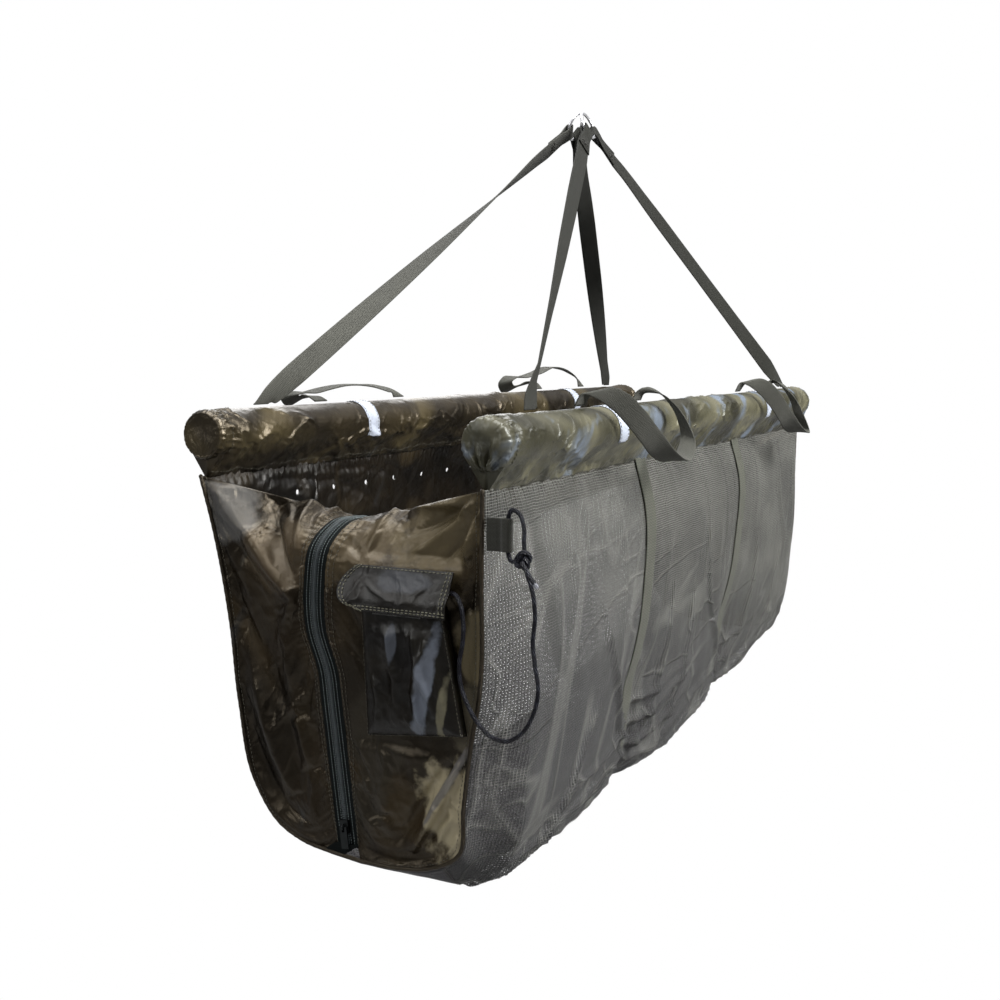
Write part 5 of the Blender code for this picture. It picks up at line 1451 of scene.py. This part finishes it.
def makeFloats():
    section = sleeveSection()
    reach = sling["endX"] - floats["capBulge"] - 0.0003
    x = np.linspace(-reach, reach, floats["columns"])
    for sideName, side in sides.items():
        seed = 70 + 6 * side
        plain = np.zeros((len(section), len(x), 3))
        plain[..., 0] = x[None, :]
        plain[..., 1:] = section[:, None]
        away = unit(plain * (0, 1, 1))
        turn = np.arctan2(plain[..., 1], plain[..., 2])
        lean = plain[..., 0] * 24 + turn * 0.8 * side
        start = plain + away * (0.0016 * creaseNoise(lean, turn * 1.3 + 4, seed))[..., None]
        held = np.zeros(plain.shape[:2], bool)
        held[[0, -1]] = held[:, [0, -1]] = True
        slack = floats["slack"]
        settled = settle(start, held, slack, frames=14, bend=0.6, pressure=1.2, gravity=0.0, reach=0.012)
        rise = np.linalg.norm(settled[..., 1:], axis=2) - np.linalg.norm(plain[..., 1:], axis=2)
        rested = softened(np.clip(rise, -0.02, 0.02), floats["calm"]) - floats["settled"]
        settled = settled - away * (rise - np.minimum(rested, floats["highest"]))[..., None]
        settled[:, [0, -1]] = plain[:, [0, -1]]
        grid = refine(settled, *floats["fine"])
        away = unit(refine(away, *floats["fine"]))
        turn = np.arctan2(grid[..., 1], grid[..., 2])
        u, v = grid[..., 0], turn * floats["radius"]
        small = 0.0012 * (creaseNoise(u * 22 + v * 14 * side, v * 20 + 9, seed + 1, 2.6) - 0.3)
        small = small + 0.0002 * cloudNoise(u * 120, v * 120 + 9, seed + 2)
        # pleats that wind round the float where its cloth is drawn tight
        wound = u * 62 + turn * 0.9 * side + 2.2 * cloudNoise(u * 9, turn * 0.8 + 4, seed + 4)
        strength = np.clip(0.6 + cloudNoise(u * 6, turn * 0.5 + 2, seed + 5), 0, 1.3)
        small = small + 0.0021 * strength * (1 - np.abs(np.sin(wound))) ** 5
        ending = reach - np.abs(u)
        fromSeam = ending - floats["seam"]
        seam = -0.0012 * np.exp(-((fromSeam / 0.0016) ** 2))
        waves = np.sin(turn * 24 + 2.5 * cloudNoise(turn * 3, u * 8, seed + 3))
        gather = 0.0009 * waves * np.exp(-np.abs(fromSeam) / 0.007)
        hold = smoothStep(np.abs(turn), math.pi, math.pi - 0.25)
        grid = grid + away * ((small + gather * hold + seam) * smoothStep(ending, 0, 0.003))[..., None]
        # the cloth lies on the foam and never inside it, and is drawn tight under the handles
        spread = np.linalg.norm(grid[..., 1:], axis=2)
        fromHandle, facingOut = np.abs(u) - floats["handleAt"], side * turn
        tight = np.exp(-((fromHandle / 0.14) ** 4)) * smoothStep(facingOut, -1.5, -1.0)
        tight = tight * smoothStep(np.abs(turn), 2.9, 2.3)
        under = np.exp(-((fromHandle / 0.15) ** 6)) * smoothStep(facingOut, -1.3, -0.8)
        under = under * smoothStep(facingOut, 0.6, 0.1)
        above = (spread - floats["onFoam"]) * (1 - 0.7 * tight) * (1 - 0.85 * under) - 0.0014 * under
        eased = floats["onFoam"] + softened(above, floats["ease"])
        grid[..., 1:] *= (eased / np.linalg.norm(grid[..., 1:], axis=2))[..., None]
        grid = grid + np.array([0, side * sling["halfSpacing"], -sling["hookHeight"]])
        facing = normalsOf(grid)
        facing = facing * np.sign(np.sum(facing * away))
        closers = [np.broadcast_to(rim.mean(axis=0, keepdims=True), rim.shape) for rim in (grid[:, :1], grid[:, -1:])]
        closed = np.concatenate([closers[0], grid, closers[1]], axis=1)
        closed = np.concatenate([closed, closed[:1]])
        finish = finishes[f"{sideName}Camouflage"]
        along, down = lengthsOf(closed)
        name = f"{sideName}FloatSleeve"
        piece = gridPiece(name, closed, np.stack([along, down], axis=2), finish, merged=True)
        wornBy(piece, "bag", f"{sideName}_float_sleeve")
        edge = reach - floats["seam"] - 0.003
        columns = [int(np.argmin(np.abs(grid[60, :, 0] - end * edge))) for end in (-1, 1)]
        seams = besideRows(grid[12:-12], facing[12:-12], 0, columns=columns)
        seams += besideRows(grid, facing, 0, rows=(3, -4))
        stitchRow(f"{sideName}SleeveStitches", seams, finishes["thread"], "bag")
        for endName, end in ends.items():
            makeCap(sideName, side, endName, end)
            makeBand(sideName, side, endName, end, grid, facing)


def makeCap(sideName, side, endName, end):
    # the closed end of a float: a puckered disc whose cloth is drawn down towards the seam
    angles = np.linspace(0, 2 * math.pi, cap["around"] + 1)
    angles[-1] = angles[0]
    turn, share = np.meshgrid(angles, np.linspace(0, 1, cap["rings"]))
    seed = 120 + 5 * end + 3 * side
    y, z = share * np.cos(turn), share * np.sin(turn)
    fan = np.arctan2(y + 0.02, z + 1.15)
    span = np.hypot(y + 0.02, z + 1.15)
    ridges = np.sin(fan * cap["folds"] + 1.3 * cloudNoise(fan * 3, span * 2, seed))
    ridges = ridges + 0.5 * np.sin(fan * 23 + 2 + 2 * cloudNoise(fan * 4, span * 3, seed + 1))
    ridges = ridges * np.clip(1.5 - span, 0, 1)
    wobble = cloudNoise(y * 1.7 + 7, z * 1.7 + 7, seed + 2)
    uneven = cloudNoise(np.cos(turn) * 3 + 9, np.sin(turn) * 3 + 9, seed + 3)
    edgePleats = np.sin(turn * 21 + 3 * uneven) * np.exp(-(1 - share) / 0.14)
    if side > 0:
        # the left float ends flat, with a raised rim
        bulge = floats["capBulge"] * (1 - share**9) ** 0.5 * 0.72
        bulge = bulge + (0.0007 * ridges + 0.0005 * wobble + 0.0006 * edgePleats) * (1 - share**6)
        bulge = bulge + 0.0012 * np.exp(-(((share - 0.88) / 0.035) ** 2))
    else:
        bulge = floats["capBulge"] * (1 - share**4) ** 0.62 * (0.84 + 0.1 * z)
        bulge = bulge + (0.0034 * ridges + 0.0012 * wobble + 0.0006 * edgePleats) * (1 - share**6)
    radius = (floats["radius"] + 0.0004) * share + 0.0005 * edgePleats * share**2
    grid = np.zeros((*share.shape, 3))
    rimX = sling["endX"] - floats["capBulge"] - cap["rim"]
    grid[..., 0] = end * (rimX + np.clip(bulge, 0, cap["reach"]))
    grid[..., 1] = side * sling["halfSpacing"] + radius * np.cos(turn)
    grid[..., 2] = radius * np.sin(turn) - sling["hookHeight"]
    grid[0] = grid[0].mean(axis=0)
    rim = grid[-1:].copy()
    rim[..., 0] = end * (rimX - 0.0003)
    middle = np.broadcast_to(rim[:, :-1].mean(axis=1, keepdims=True), rim.shape)
    grid = np.concatenate([grid, rim, middle])
    uv = np.stack([turn * 0.02, share * 0.025], axis=2)
    uv = np.concatenate([uv, uv[-1:], uv[-1:]])
    piece = gridPiece(f"{sideName}{endName.title()}Cap", grid, uv, finishes[f"{sideName}Camouflage"], merged=True)
    wornBy(piece, "bag", f"{sideName}_{endName}_end_cap")


def makeBand(sideName, side, endName, end, sleeve, facing):
    # reflective tape sewn on the sleeve, laid over the sleeve's own folds
    rows = np.arange(14, len(sleeve) - 14)
    x = sleeve[len(sleeve) // 2, :, 0]
    stations = np.linspace(-band["half"], band["half"], 22)
    grid = np.zeros((len(rows), len(stations), 3))
    for k, row in enumerate(rows):
        lean = band["lean"] * (row / len(sleeve) - 0.5) * side
        wanted = end * band["station"] + stations + lean + 0.0012 * math.sin(row * 0.13)
        raised = sleeve[row] + facing[row] * band["lift"]
        grid[k] = np.stack([np.interp(wanted, x, raised[:, axis]) for axis in range(3)], axis=1)
    along, down = lengthsOf(grid)
    uv = np.stack([along, down], axis=2)
    name = f"{sideName}{endName.title()}Band"
    piece = gridPiece(name, grid, uv, finishes["reflective"], thickness=band["thickness"], offset=0)
    wornBy(piece, "bag", f"{sideName}_{endName}_reflective_band")
    middle = np.array([0, side * sling["halfSpacing"], -sling["hookHeight"]])
    normals = unit(grid[:, 0] * (0, 1, 1) - middle)
    seams = [(grid[:, c] + normals * 0.0002, normals) for c in (2, -3)]
    stitchRow(f"{name}Stitches", seams, finishes["thread"], "bag")


makeFloats()
print("floats made")


handles = {
    "width": 0.025, "thickness": 0.0016, "station": 0.3, "foot": 0.0006,
    "rearReach": 0.78, "frontReach": 0.72, "frontRise": 0.5,
}
# each point of a handle's middle line, with the direction that its webbing lies in
rightHandle = [
    ((-0.083, 0.002, 0.0), (1, 0, 0)), ((-0.08, 0.009, 0.012), (1, 0.1, 0)),
    ((-0.065, 0.021, 0.0135), (0.75, 0.5, 0.4)), ((-0.05, 0.034, 0.004), (0.5, 0.6, 0.6)),
    ((-0.03, 0.045, -0.014), (0.45, 0.6, 0.65)), ((-0.008, 0.053, -0.034), (0.45, 0.55, 0.7)),
    ((0.024, 0.058, -0.055), (0.2, 0.9, 0.4)), ((0.06, 0.06, -0.065), (0.0, 1.0, 0.1)),
    ((0.1, 0.058, -0.06), (-0.3, 0.9, -0.3)), ((0.124, 0.053, -0.042), (-0.3, 0.85, -0.45)),
    ((0.128, 0.042, -0.018), (-0.3, 0.75, -0.5)), ((0.12, 0.028, 0.002), (0.1, 0.8, -0.6)),
    ((0.099, 0.013, 0.011), (0.8, 0.4, -0.2)), ((0.094, 0.004, 0.008), (1, 0.1, 0)),
    ((0.09, 0.002, 0.0), (1, 0, 0)),
]
leftHandle = [
    ((-0.085, 0.002, 0.0), (1, 0, 0)), ((-0.087, 0.009, 0.009), (1, 0.1, 0)),
    ((-0.1, 0.022, 0.008), (0.6, 0.8, -0.3)), ((-0.122, 0.03, 0.001), (0, 1, -0.5)),
    ((-0.14, 0.031, 0.002), (0, 1, -0.4)), ((-0.148, 0.03, 0.01), (0, 1, -0.2)),
    ((-0.137, 0.028, 0.018), (0, 1, 0)), ((-0.105, 0.024, 0.018), (0, 1, 0)),
    ((-0.06, 0.02, 0.024), (0, 1, 0)), ((-0.012, 0.018, 0.033), (0.1, 1, 0)),
    ((0.03, 0.015, 0.03), (0.2, 1, 0.1)), ((0.065, 0.011, 0.021), (0.45, 0.9, 0.3)),
    ((0.083, 0.007, 0.012), (0.9, 0.4, 0.1)), ((0.087, 0.002, 0.0), (1, 0, 0)),
]
# how far each handle's plan reaches, and how high it stands, as shares
handlePlans = {
    ("left", "front"): (leftHandle, handles["frontReach"], handles["frontRise"]),
    ("right", "front"): (rightHandle, 1, 1),
    ("left", "rear"): (leftHandle, 1, 1),
    ("right", "rear"): (rightHandle, handles["rearReach"], 1),
}


def makeHandles():
    top = sling["floatTop"] - sling["hookHeight"] + handles["foot"] + handles["thickness"] / 2
    for (sideName, endName), (plan, reach, rise) in handlePlans.items():
        side = sides[sideName]
        base = np.array([ends[endName] * handles["station"], side * sling["halfSpacing"], top])
        route = [(x * (reach if abs(x) > 0.1 else 1), out, up * rise, *across) for (x, out, up), across in plan]
        track = smoothAlong(route, np.linspace(0, 1, 130)) * (1, side, 1, 1, side, 1)
        body = f"{sideName}_{endName}_handle"
        piece = ribbonPiece(
            f"{sideName}{endName.title()}Handle", base + track[:, :3], track[:, 3:],
            handles["width"], handles["thickness"], finishes["webbing"], body, [body],
        )


makeHandles()
print("handles made")


lift = {
    "anchor": 0.5, "ringRadius": 0.0172, "ringWire": 0.002, "apart": 0.0033, "width": 0.025,
    "atRing": 0.018, "thickness": 0.0016, "overlap": 0.05, "foot": 0.022, "turnStart": 0.06,
    "loopReach": 0.018, "slack": 0.0048, "loopTurn": 0.0015,
}
# how far each strap is turned about its own line, in degrees, from its foot to its ring
turnShares = (0, 0.1, 0.3, 0.5, 0.7, 0.85, 1)
strapTurns = {
    ("left", "front"): (180, 128, 100, 73, 42, 15, 0),
    ("right", "front"): (0, 38, 28, 12, 2, 0, 0),
    ("left", "rear"): (0, 4, -22, -48, -42, -16, 0),
    ("right", "rear"): (0, -37, -27, -21, -18, -8, 0),
}
# a sewn box with a cross in it: the start and end of each line, along and across the strap
boxLines = [
    ((0, -1), (1, -1)), ((0, 1), (1, 1)), ((0, -1), (0, 1)),
    ((1, -1), (1, 1)), ((0, -1), (1, 1)), ((0, 1), (1, -1)),
]


def boxStitches(name, centres, wides, width, above, body):
    facing = unit(np.cross(np.gradient(centres, axis=0), wides))
    share = np.linspace(0, 1, 30)
    place = np.linspace(0, 1, len(centres))
    lines = []
    for face in (1, -1):
        for start, end in boxLines:
            t = start[0] + (end[0] - start[0]) * share
            off = (start[1] + (end[1] - start[1]) * share) * width * 0.4
            at, wide, out = (readAlong(v, place, t).T for v in (centres, wides, facing))
            lines.append((at + wide * off[:, None] + out * face * above, out * face))
    stitchRow(name, lines, finishes["strapThread"], body, length=0.0031, radius=0.00045)


def makeRing(name, centre, rise, body, node):
    deselectAll()
    bpy.ops.mesh.primitive_torus_add(
        major_radius=lift["ringRadius"], minor_radius=lift["ringWire"], major_segments=72, minor_segments=20,
    )
    ring = bpy.context.object
    ring.name = name
    # a welded joint: the wire swells a little at one place
    places = np.zeros(len(ring.data.vertices) * 3)
    ring.data.vertices.foreach_get("co", places)
    places = places.reshape(-1, 3)
    angle = np.arctan2(places[:, 1], places[:, 0])
    core = np.stack([np.cos(angle), np.sin(angle), 0 * angle], axis=1) * lift["ringRadius"]
    swell = 1 + 0.12 * np.exp(-(((angle + 2.2) / 0.09) ** 2))
    places = core + (places - core) * swell[:, None]
    turn = np.array([(1, 0, 0), rise, np.cross((1, 0, 0), rise)]).T
    ring.data.vertices.foreach_set("co", (places @ turn.T + centre).reshape(-1))
    ring.data.materials.append(finishes["chrome"])
    bpy.ops.object.shade_smooth()
    wornBy(ring, body, node)


def strapLine(run, wireGap, halfGap):
    # distance along the strap and off its middle: out to the ring, round its wire and back
    meet, far = run - lift["overlap"], run + lift["ringWire"] + lift["slack"]
    reach, bend = lift["loopReach"], lift["loopTurn"]
    line = [(0, 0), (lift["foot"], 0)]
    line += [(d, 0) for d in np.linspace(lift["turnStart"], meet - lift["foot"], 8)]
    line += [(meet, halfGap), (run - 2 * reach, halfGap), (run - reach, 1.4 * halfGap)]
    line += [(run - reach / 3, wireGap), (far - bend, wireGap), (far, 0.7 * wireGap), (far + bend / 2, 0)]
    line += [(d, -off) for d, off in line[:-8:-1] if off > 0]
    line[-1] = (meet + 0.0003, -halfGap)
    return smoothAlong([(d, off, 0) for d, off in line], np.linspace(0, 1, 330))


def makeLiftStraps():
    wireGap = lift["ringWire"] + 0.0003 + lift["thickness"] / 2
    halfGap = lift["thickness"] / 2 + 0.00015
    for sideName, side in sides.items():
        body = f"{sideName}_lift"
        hinge = np.array([0, side * sling["halfSpacing"], sling["floatTop"] - sling["hookHeight"]])
        ringTop = np.array([0, side * lift["apart"], 0])
        rise = unit(ringTop - hinge)
        normal = np.cross((side, 0, 0), rise)
        centre = ringTop - rise * (lift["ringRadius"] - lift["ringWire"])
        makeRing(f"{sideName}WeighRing", centre, rise, body, f"{sideName}_weigh_ring")
        for endName, end in ends.items():
            anchor = hinge + np.array([end * lift["anchor"], 0, lift["thickness"]])
            run = np.linalg.norm(centre - anchor) - lift["ringRadius"]
            along = unit(centre - anchor)
            flat = unit(np.cross(normal, along))
            fine = strapLine(run, wireGap, halfGap)
            angles = np.radians(np.interp(fine[:, 0] / run, turnShares, strapTurns[(sideName, endName)]))
            wide = flat * np.cos(angles)[:, None] + normal * np.sin(angles)[:, None]
            meet, loop = run - lift["overlap"], run - lift["loopReach"]
            widths = np.interp(fine[:, 0], (meet, loop), (lift["width"], lift["atRing"]))
            centres = anchor + along * fine[:, :1] + normal * fine[:, 1:2]
            worn = finishes["fadedWebbing" if (sideName, endName) == ("left", "front") else "strapWebbing"]
            footShare = 1 - smoothStep(fine[:, 0], 0.0, lift["foot"])
            alongFloat = np.array([math.copysign(1, flat[0] * math.cos(angles[0])), 0, 0])
            wide = unit(wide * (1 - footShare)[:, None] + alongFloat * footShare[:, None])
            name = f"{sideName}{endName.title()}"
            nodes = [f"{sideName}_{endName}_lift_strap"]
            strap = f"{name}LiftStrap"
            ribbonPiece(strap, centres, wide, widths, lift["thickness"], worn, body, nodes)
            sewn = (fine[:, 0] > meet + 0.004) & (fine[:, 0] < run - 2 * lift["loopReach"]) & (fine[:, 1] > 0)
            middle = anchor + along * fine[sewn, :1]
            above = halfGap + lift["thickness"] / 2 + 0.0002
            boxStitches(f"{name}StrapStitches", middle, wide[sewn], lift["atRing"], above, body)


makeLiftStraps()
print("lift straps made")


pouch = {
    "corners": [(0, 0), (0.006, -0.13), (0.108, -0.118), (0.086, 0)], "height": 0.125,
    "round": 0.012, "stand": 0.0135, "thickness": 0.0007,
}
pouchCreases = [
    ([(0.03, -0.02), (0.045, -0.07), (0.04, -0.12)], 0.006, 0.004),
    ([(0.06, -0.015), (0.068, -0.06), (0.085, -0.1)], 0.004, 0.006),
    ([(0.075, -0.03), (0.062, -0.08), (0.07, -0.115)], 0.0035, 0.005),
    ([(0.082, -0.04), (0.09, -0.08), (0.1, -0.112)], 0.0035, 0.005),
    ([(0.015, -0.05), (0.025, -0.09), (0.02, -0.12)], 0.005, 0.003),
]
# the flap lies over the pouch's front and both patches, with a gap at each
hookPatch = {"thickness": 0.001, "gap": 0.0003}
flap = {
    "rows": 64, "columns": 130, "thickness": 0.0013, "height": 0.046, "start": 0.0014,
    "left": -0.022, "right": 0.096, "bow": 0.016, "hem": 0.012,
}


def makePocket():
    corners = np.array(pouch["corners"])
    across, down = np.meshgrid(np.linspace(0, 1, 96), np.linspace(0, 1, 104))
    shares = ((1 - across) * (1 - down), (1 - across) * down, across * down, across * (1 - down))
    flat = sum(corner * share[..., None] for corner, share in zip(corners, shares))
    top, foot = np.linalg.norm(corners[3] - corners[0]), np.linalg.norm(corners[2] - corners[1])
    width = top * (1 - down) + foot * down
    inset = np.minimum(np.minimum(across * width, (1 - across) * width), (1 - down) * pouch["height"])
    rounding = np.clip(1 - inset / pouch["round"], 0, 1)
    out = pouch["stand"] * np.sqrt(np.clip(1 - rounding**2.2, 0, 1))
    u, v = flat[..., 0], flat[..., 1]
    below = smoothStep(-v, 0.014, 0.03) * smoothStep(inset, 0.004, 0.02)
    folds = foldField(u, v, pouchCreases)
    wrinkle = 0.0035 * creaseNoise(u * 26 + v * 8, v * 15 - u * 6, 201, 1.8) + np.maximum(folds, -0.001)
    out = np.maximum(out + (wrinkle + 0.0012) * below, 0.0)
    out = out + 0.0006 * (creaseNoise(u * 90, v * 70, 207) - 0.5) * smoothStep(inset, 0, 0.004)
    grid = pocketPoint(u, v, out)
    rests, finish = ["front_right_end_panel"], finishes["pocketCamouflage"]
    clothSheet("pocketPouch", grid, finish, pouch["thickness"], ["pocket_pouch"])
    seams = besideRows(grid, outwards(grid, 0, -1), 0.0004, rows=(-3,), columns=(2, -3))
    stitchRow("pouchStitches", seams, finishes["thread"], "bag", 0.004, 0.0029)
    # the flap, with a doubled hem
    hingeUp = pocketPlace["drop"] - pocketPlace["flapHinge"]
    front = pocketPlace["depth"] + 4 * hookPatch["gap"] + 2 * hookPatch["thickness"] + 0.0007
    drop = flap["height"] - front / 3
    section = [(0, flap["start"]), (0.25, 0.3 * front), (0.5, 0.64 * front), (0.75, 0.97 * front), (1, front)]
    out = smoothAlong(section, np.linspace(0, 1, flap["rows"]))
    grid = np.zeros((flap["rows"], flap["columns"], 3))
    for k, (along, off) in enumerate(out):
        left = flap["bow"] * (2 * along - 1) ** 2 + flap["left"] + flap["hem"] * smoothStep(along, 0.8, 1.0)
        u = np.linspace(left, flap["right"], flap["columns"])
        dent = 0.0026 * (creaseNoise(u * 34, along * 1.9 + 3, 210, 2.0) - 0.3) * smoothStep(along, 0.05, 0.3)
        grid[k] = pocketPoint(u, hingeUp - drop * along, off + dent)
    nodes = ["pocket_flap"]
    clothSheet("pocketFlap", grid, finish, flap["thickness"], nodes, body="pocket_flap")
    seams = besideRows(grid, outwards(grid, 0, -1), 0.0007, rows=(3, -4, -8), columns=(3, -4, 7, -8))
    stitchRow("flapStitches", seams, finishes["flapThread"], "pocket_flap", radius=0.00048)


cordTab = {"eye": 0.0034, "half": 0.00095, "length": 0.021, "width": 0.03, "thickness": 0.0015}


def makeTab():
    # doubled webbing that runs out from the seam and round the cord's loop
    eye, half, length = cordTab["eye"], cordTab["half"], cordTab["length"]
    plan = [(0, half), (0.4 * length, half), (0.66 * length, half), (0.8 * length, 0.75 * eye)]
    bend = [(length + eye * math.cos(a), eye * math.sin(a)) for a in np.linspace(1.9, -1.9, 9)]
    plan += bend + [(a, -b) for a, b in plan[::-1]]
    base = np.array([-sling["endX"] - 0.001, -0.184 + length, -0.078 - sling["hookHeight"]])
    track = smoothAlong([(a, b, 0) for a, b in plan], np.linspace(0, 1, 90))
    centres = base + np.stack([track[:, 1], -track[:, 0], 0 * track[:, 0]], axis=1)
    wide = np.tile((0.0, 0.0, 1.0), (len(centres), 1))
    finish = finishes["tabWebbing"]
    width, thickness = cordTab["width"], cordTab["thickness"]
    piece = ribbonPiece("cordTab", centres, wide, width, thickness, finish, "bag", ["cord_tab"])


makePocket()
makeTab()
print("pocket and tab made")


stays = {
    "left_float_core": "foam", "right_float_core": "foam",
    "flap_hook_patch": "patch", "pouch_loop_patch": "patch",
    "front_zip_slider": "darkMetal", "rear_zip_slider": "darkMetal",
    "front_zip_pull": "darkMetal", "rear_zip_pull": "darkMetal",
}
for node, finish in stays.items():
    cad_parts[node].data.materials.clear()
    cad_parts[node].data.materials.append(finishes[finish])


studio = {"floorHeight": -2.0, "overhead": 0.75, "level": 0.05, "below": 0.1}
# each lamp's place, size and power
lamps = {
    "keyBox": ((0.2, -2.3, 1.1), 1.3, 118), "topBox": ((-0.2, 0.2, 2.0), 1.5, 50),
    "frontBox": ((-2.4, 1.3, 1.0), 0.7, 14), "backBox": ((1.9, 1.6, 0.6), 1.4, 18),
}


def makeStudio():
    deselectAll()
    bpy.ops.mesh.primitive_plane_add(size=30, location=(0, 0, studio["floorHeight"]))
    floor = bpy.context.object
    floor.name = "studioFloor"
    f = Finish("studioFloor", Roughness=0.8, Specular_IOR_Level=0.1)
    speck = f.noise(f.place(), 3.0, 3.0)
    f.wear(Base_Color=f.mix(speck, (0.3, 0.3, 0.3), (0.34, 0.34, 0.34)))
    seen = f.node("ShaderNodeLightPath")
    glow = f.node("ShaderNodeEmission", {}, {0: (1, 1, 1, 1), 1: 1.0})
    both = f.node("ShaderNodeMixShader", {}, {0: seen, 1: Wire(f, f.shader.outputs[0]), 2: glow})
    f.tree.links.new(both.socket, f.tree.nodes["Material Output"].inputs[0])
    floor.data.materials.append(f.material)
    world = bpy.data.worlds.new("studio")
    bpy.context.scene.world = world
    world.use_nodes = True
    tree = world.node_tree
    back = tree.nodes["Background"]
    # paler overhead than at eye level, so that glossy cloth shows dark sides and bright tops
    where = tree.nodes.new("ShaderNodeTexCoord")
    height = tree.nodes.new("ShaderNodeSeparateXYZ")
    shade = tree.nodes.new("ShaderNodeValToRGB")
    halved = tree.nodes.new("ShaderNodeMath")
    halved.operation = "MULTIPLY_ADD"
    halved.inputs[1].default_value = halved.inputs[2].default_value = 0.5
    stops = ((0.0, studio["below"]), (0.42, studio["level"]), (0.6, studio["level"]), (0.85, studio["overhead"]))
    while len(shade.color_ramp.elements) < len(stops):
        shade.color_ramp.elements.new(0.5)
    for element, (place, amount) in zip(shade.color_ramp.elements, stops):
        element.position, element.color = place, (amount, amount, amount * 1.03, 1)
    tree.links.new(where.outputs["Generated"], height.inputs[0])
    tree.links.new(height.outputs[2], halved.inputs[0])
    tree.links.new(halved.outputs[0], shade.inputs[0])
    tree.links.new(shade.outputs[0], back.inputs[0])
    back.inputs[1].default_value = 1.0
    white = tree.nodes.new("ShaderNodeBackground")
    white.inputs[0].default_value = (1, 1, 1, 1)
    white.inputs[1].default_value = 1.0
    rays = tree.nodes.new("ShaderNodeLightPath")
    choose = tree.nodes.new("ShaderNodeMixShader")
    tree.links.new(rays.outputs["Is Camera Ray"], choose.inputs[0])
    tree.links.new(back.outputs[0], choose.inputs[1])
    tree.links.new(white.outputs[0], choose.inputs[2])
    tree.links.new(choose.outputs[0], tree.nodes["World Output"].inputs[0])
    for name, (place, size, power) in lamps.items():
        bpy.ops.object.light_add(type="AREA", location=place)
        lamp = bpy.context.object
        lamp.name = name
        lamp.data.size = size
        lamp.data.energy = power
        towards = Vector((0, 0, -0.5)) - Vector(place)
        lamp.matrix_world = Matrix.Translation(place) @ towards.to_track_quat("-Z", "Y").to_matrix().to_4x4()


makeStudio()
bpy.context.scene.view_settings.view_transform = "Standard"
print("studio made")
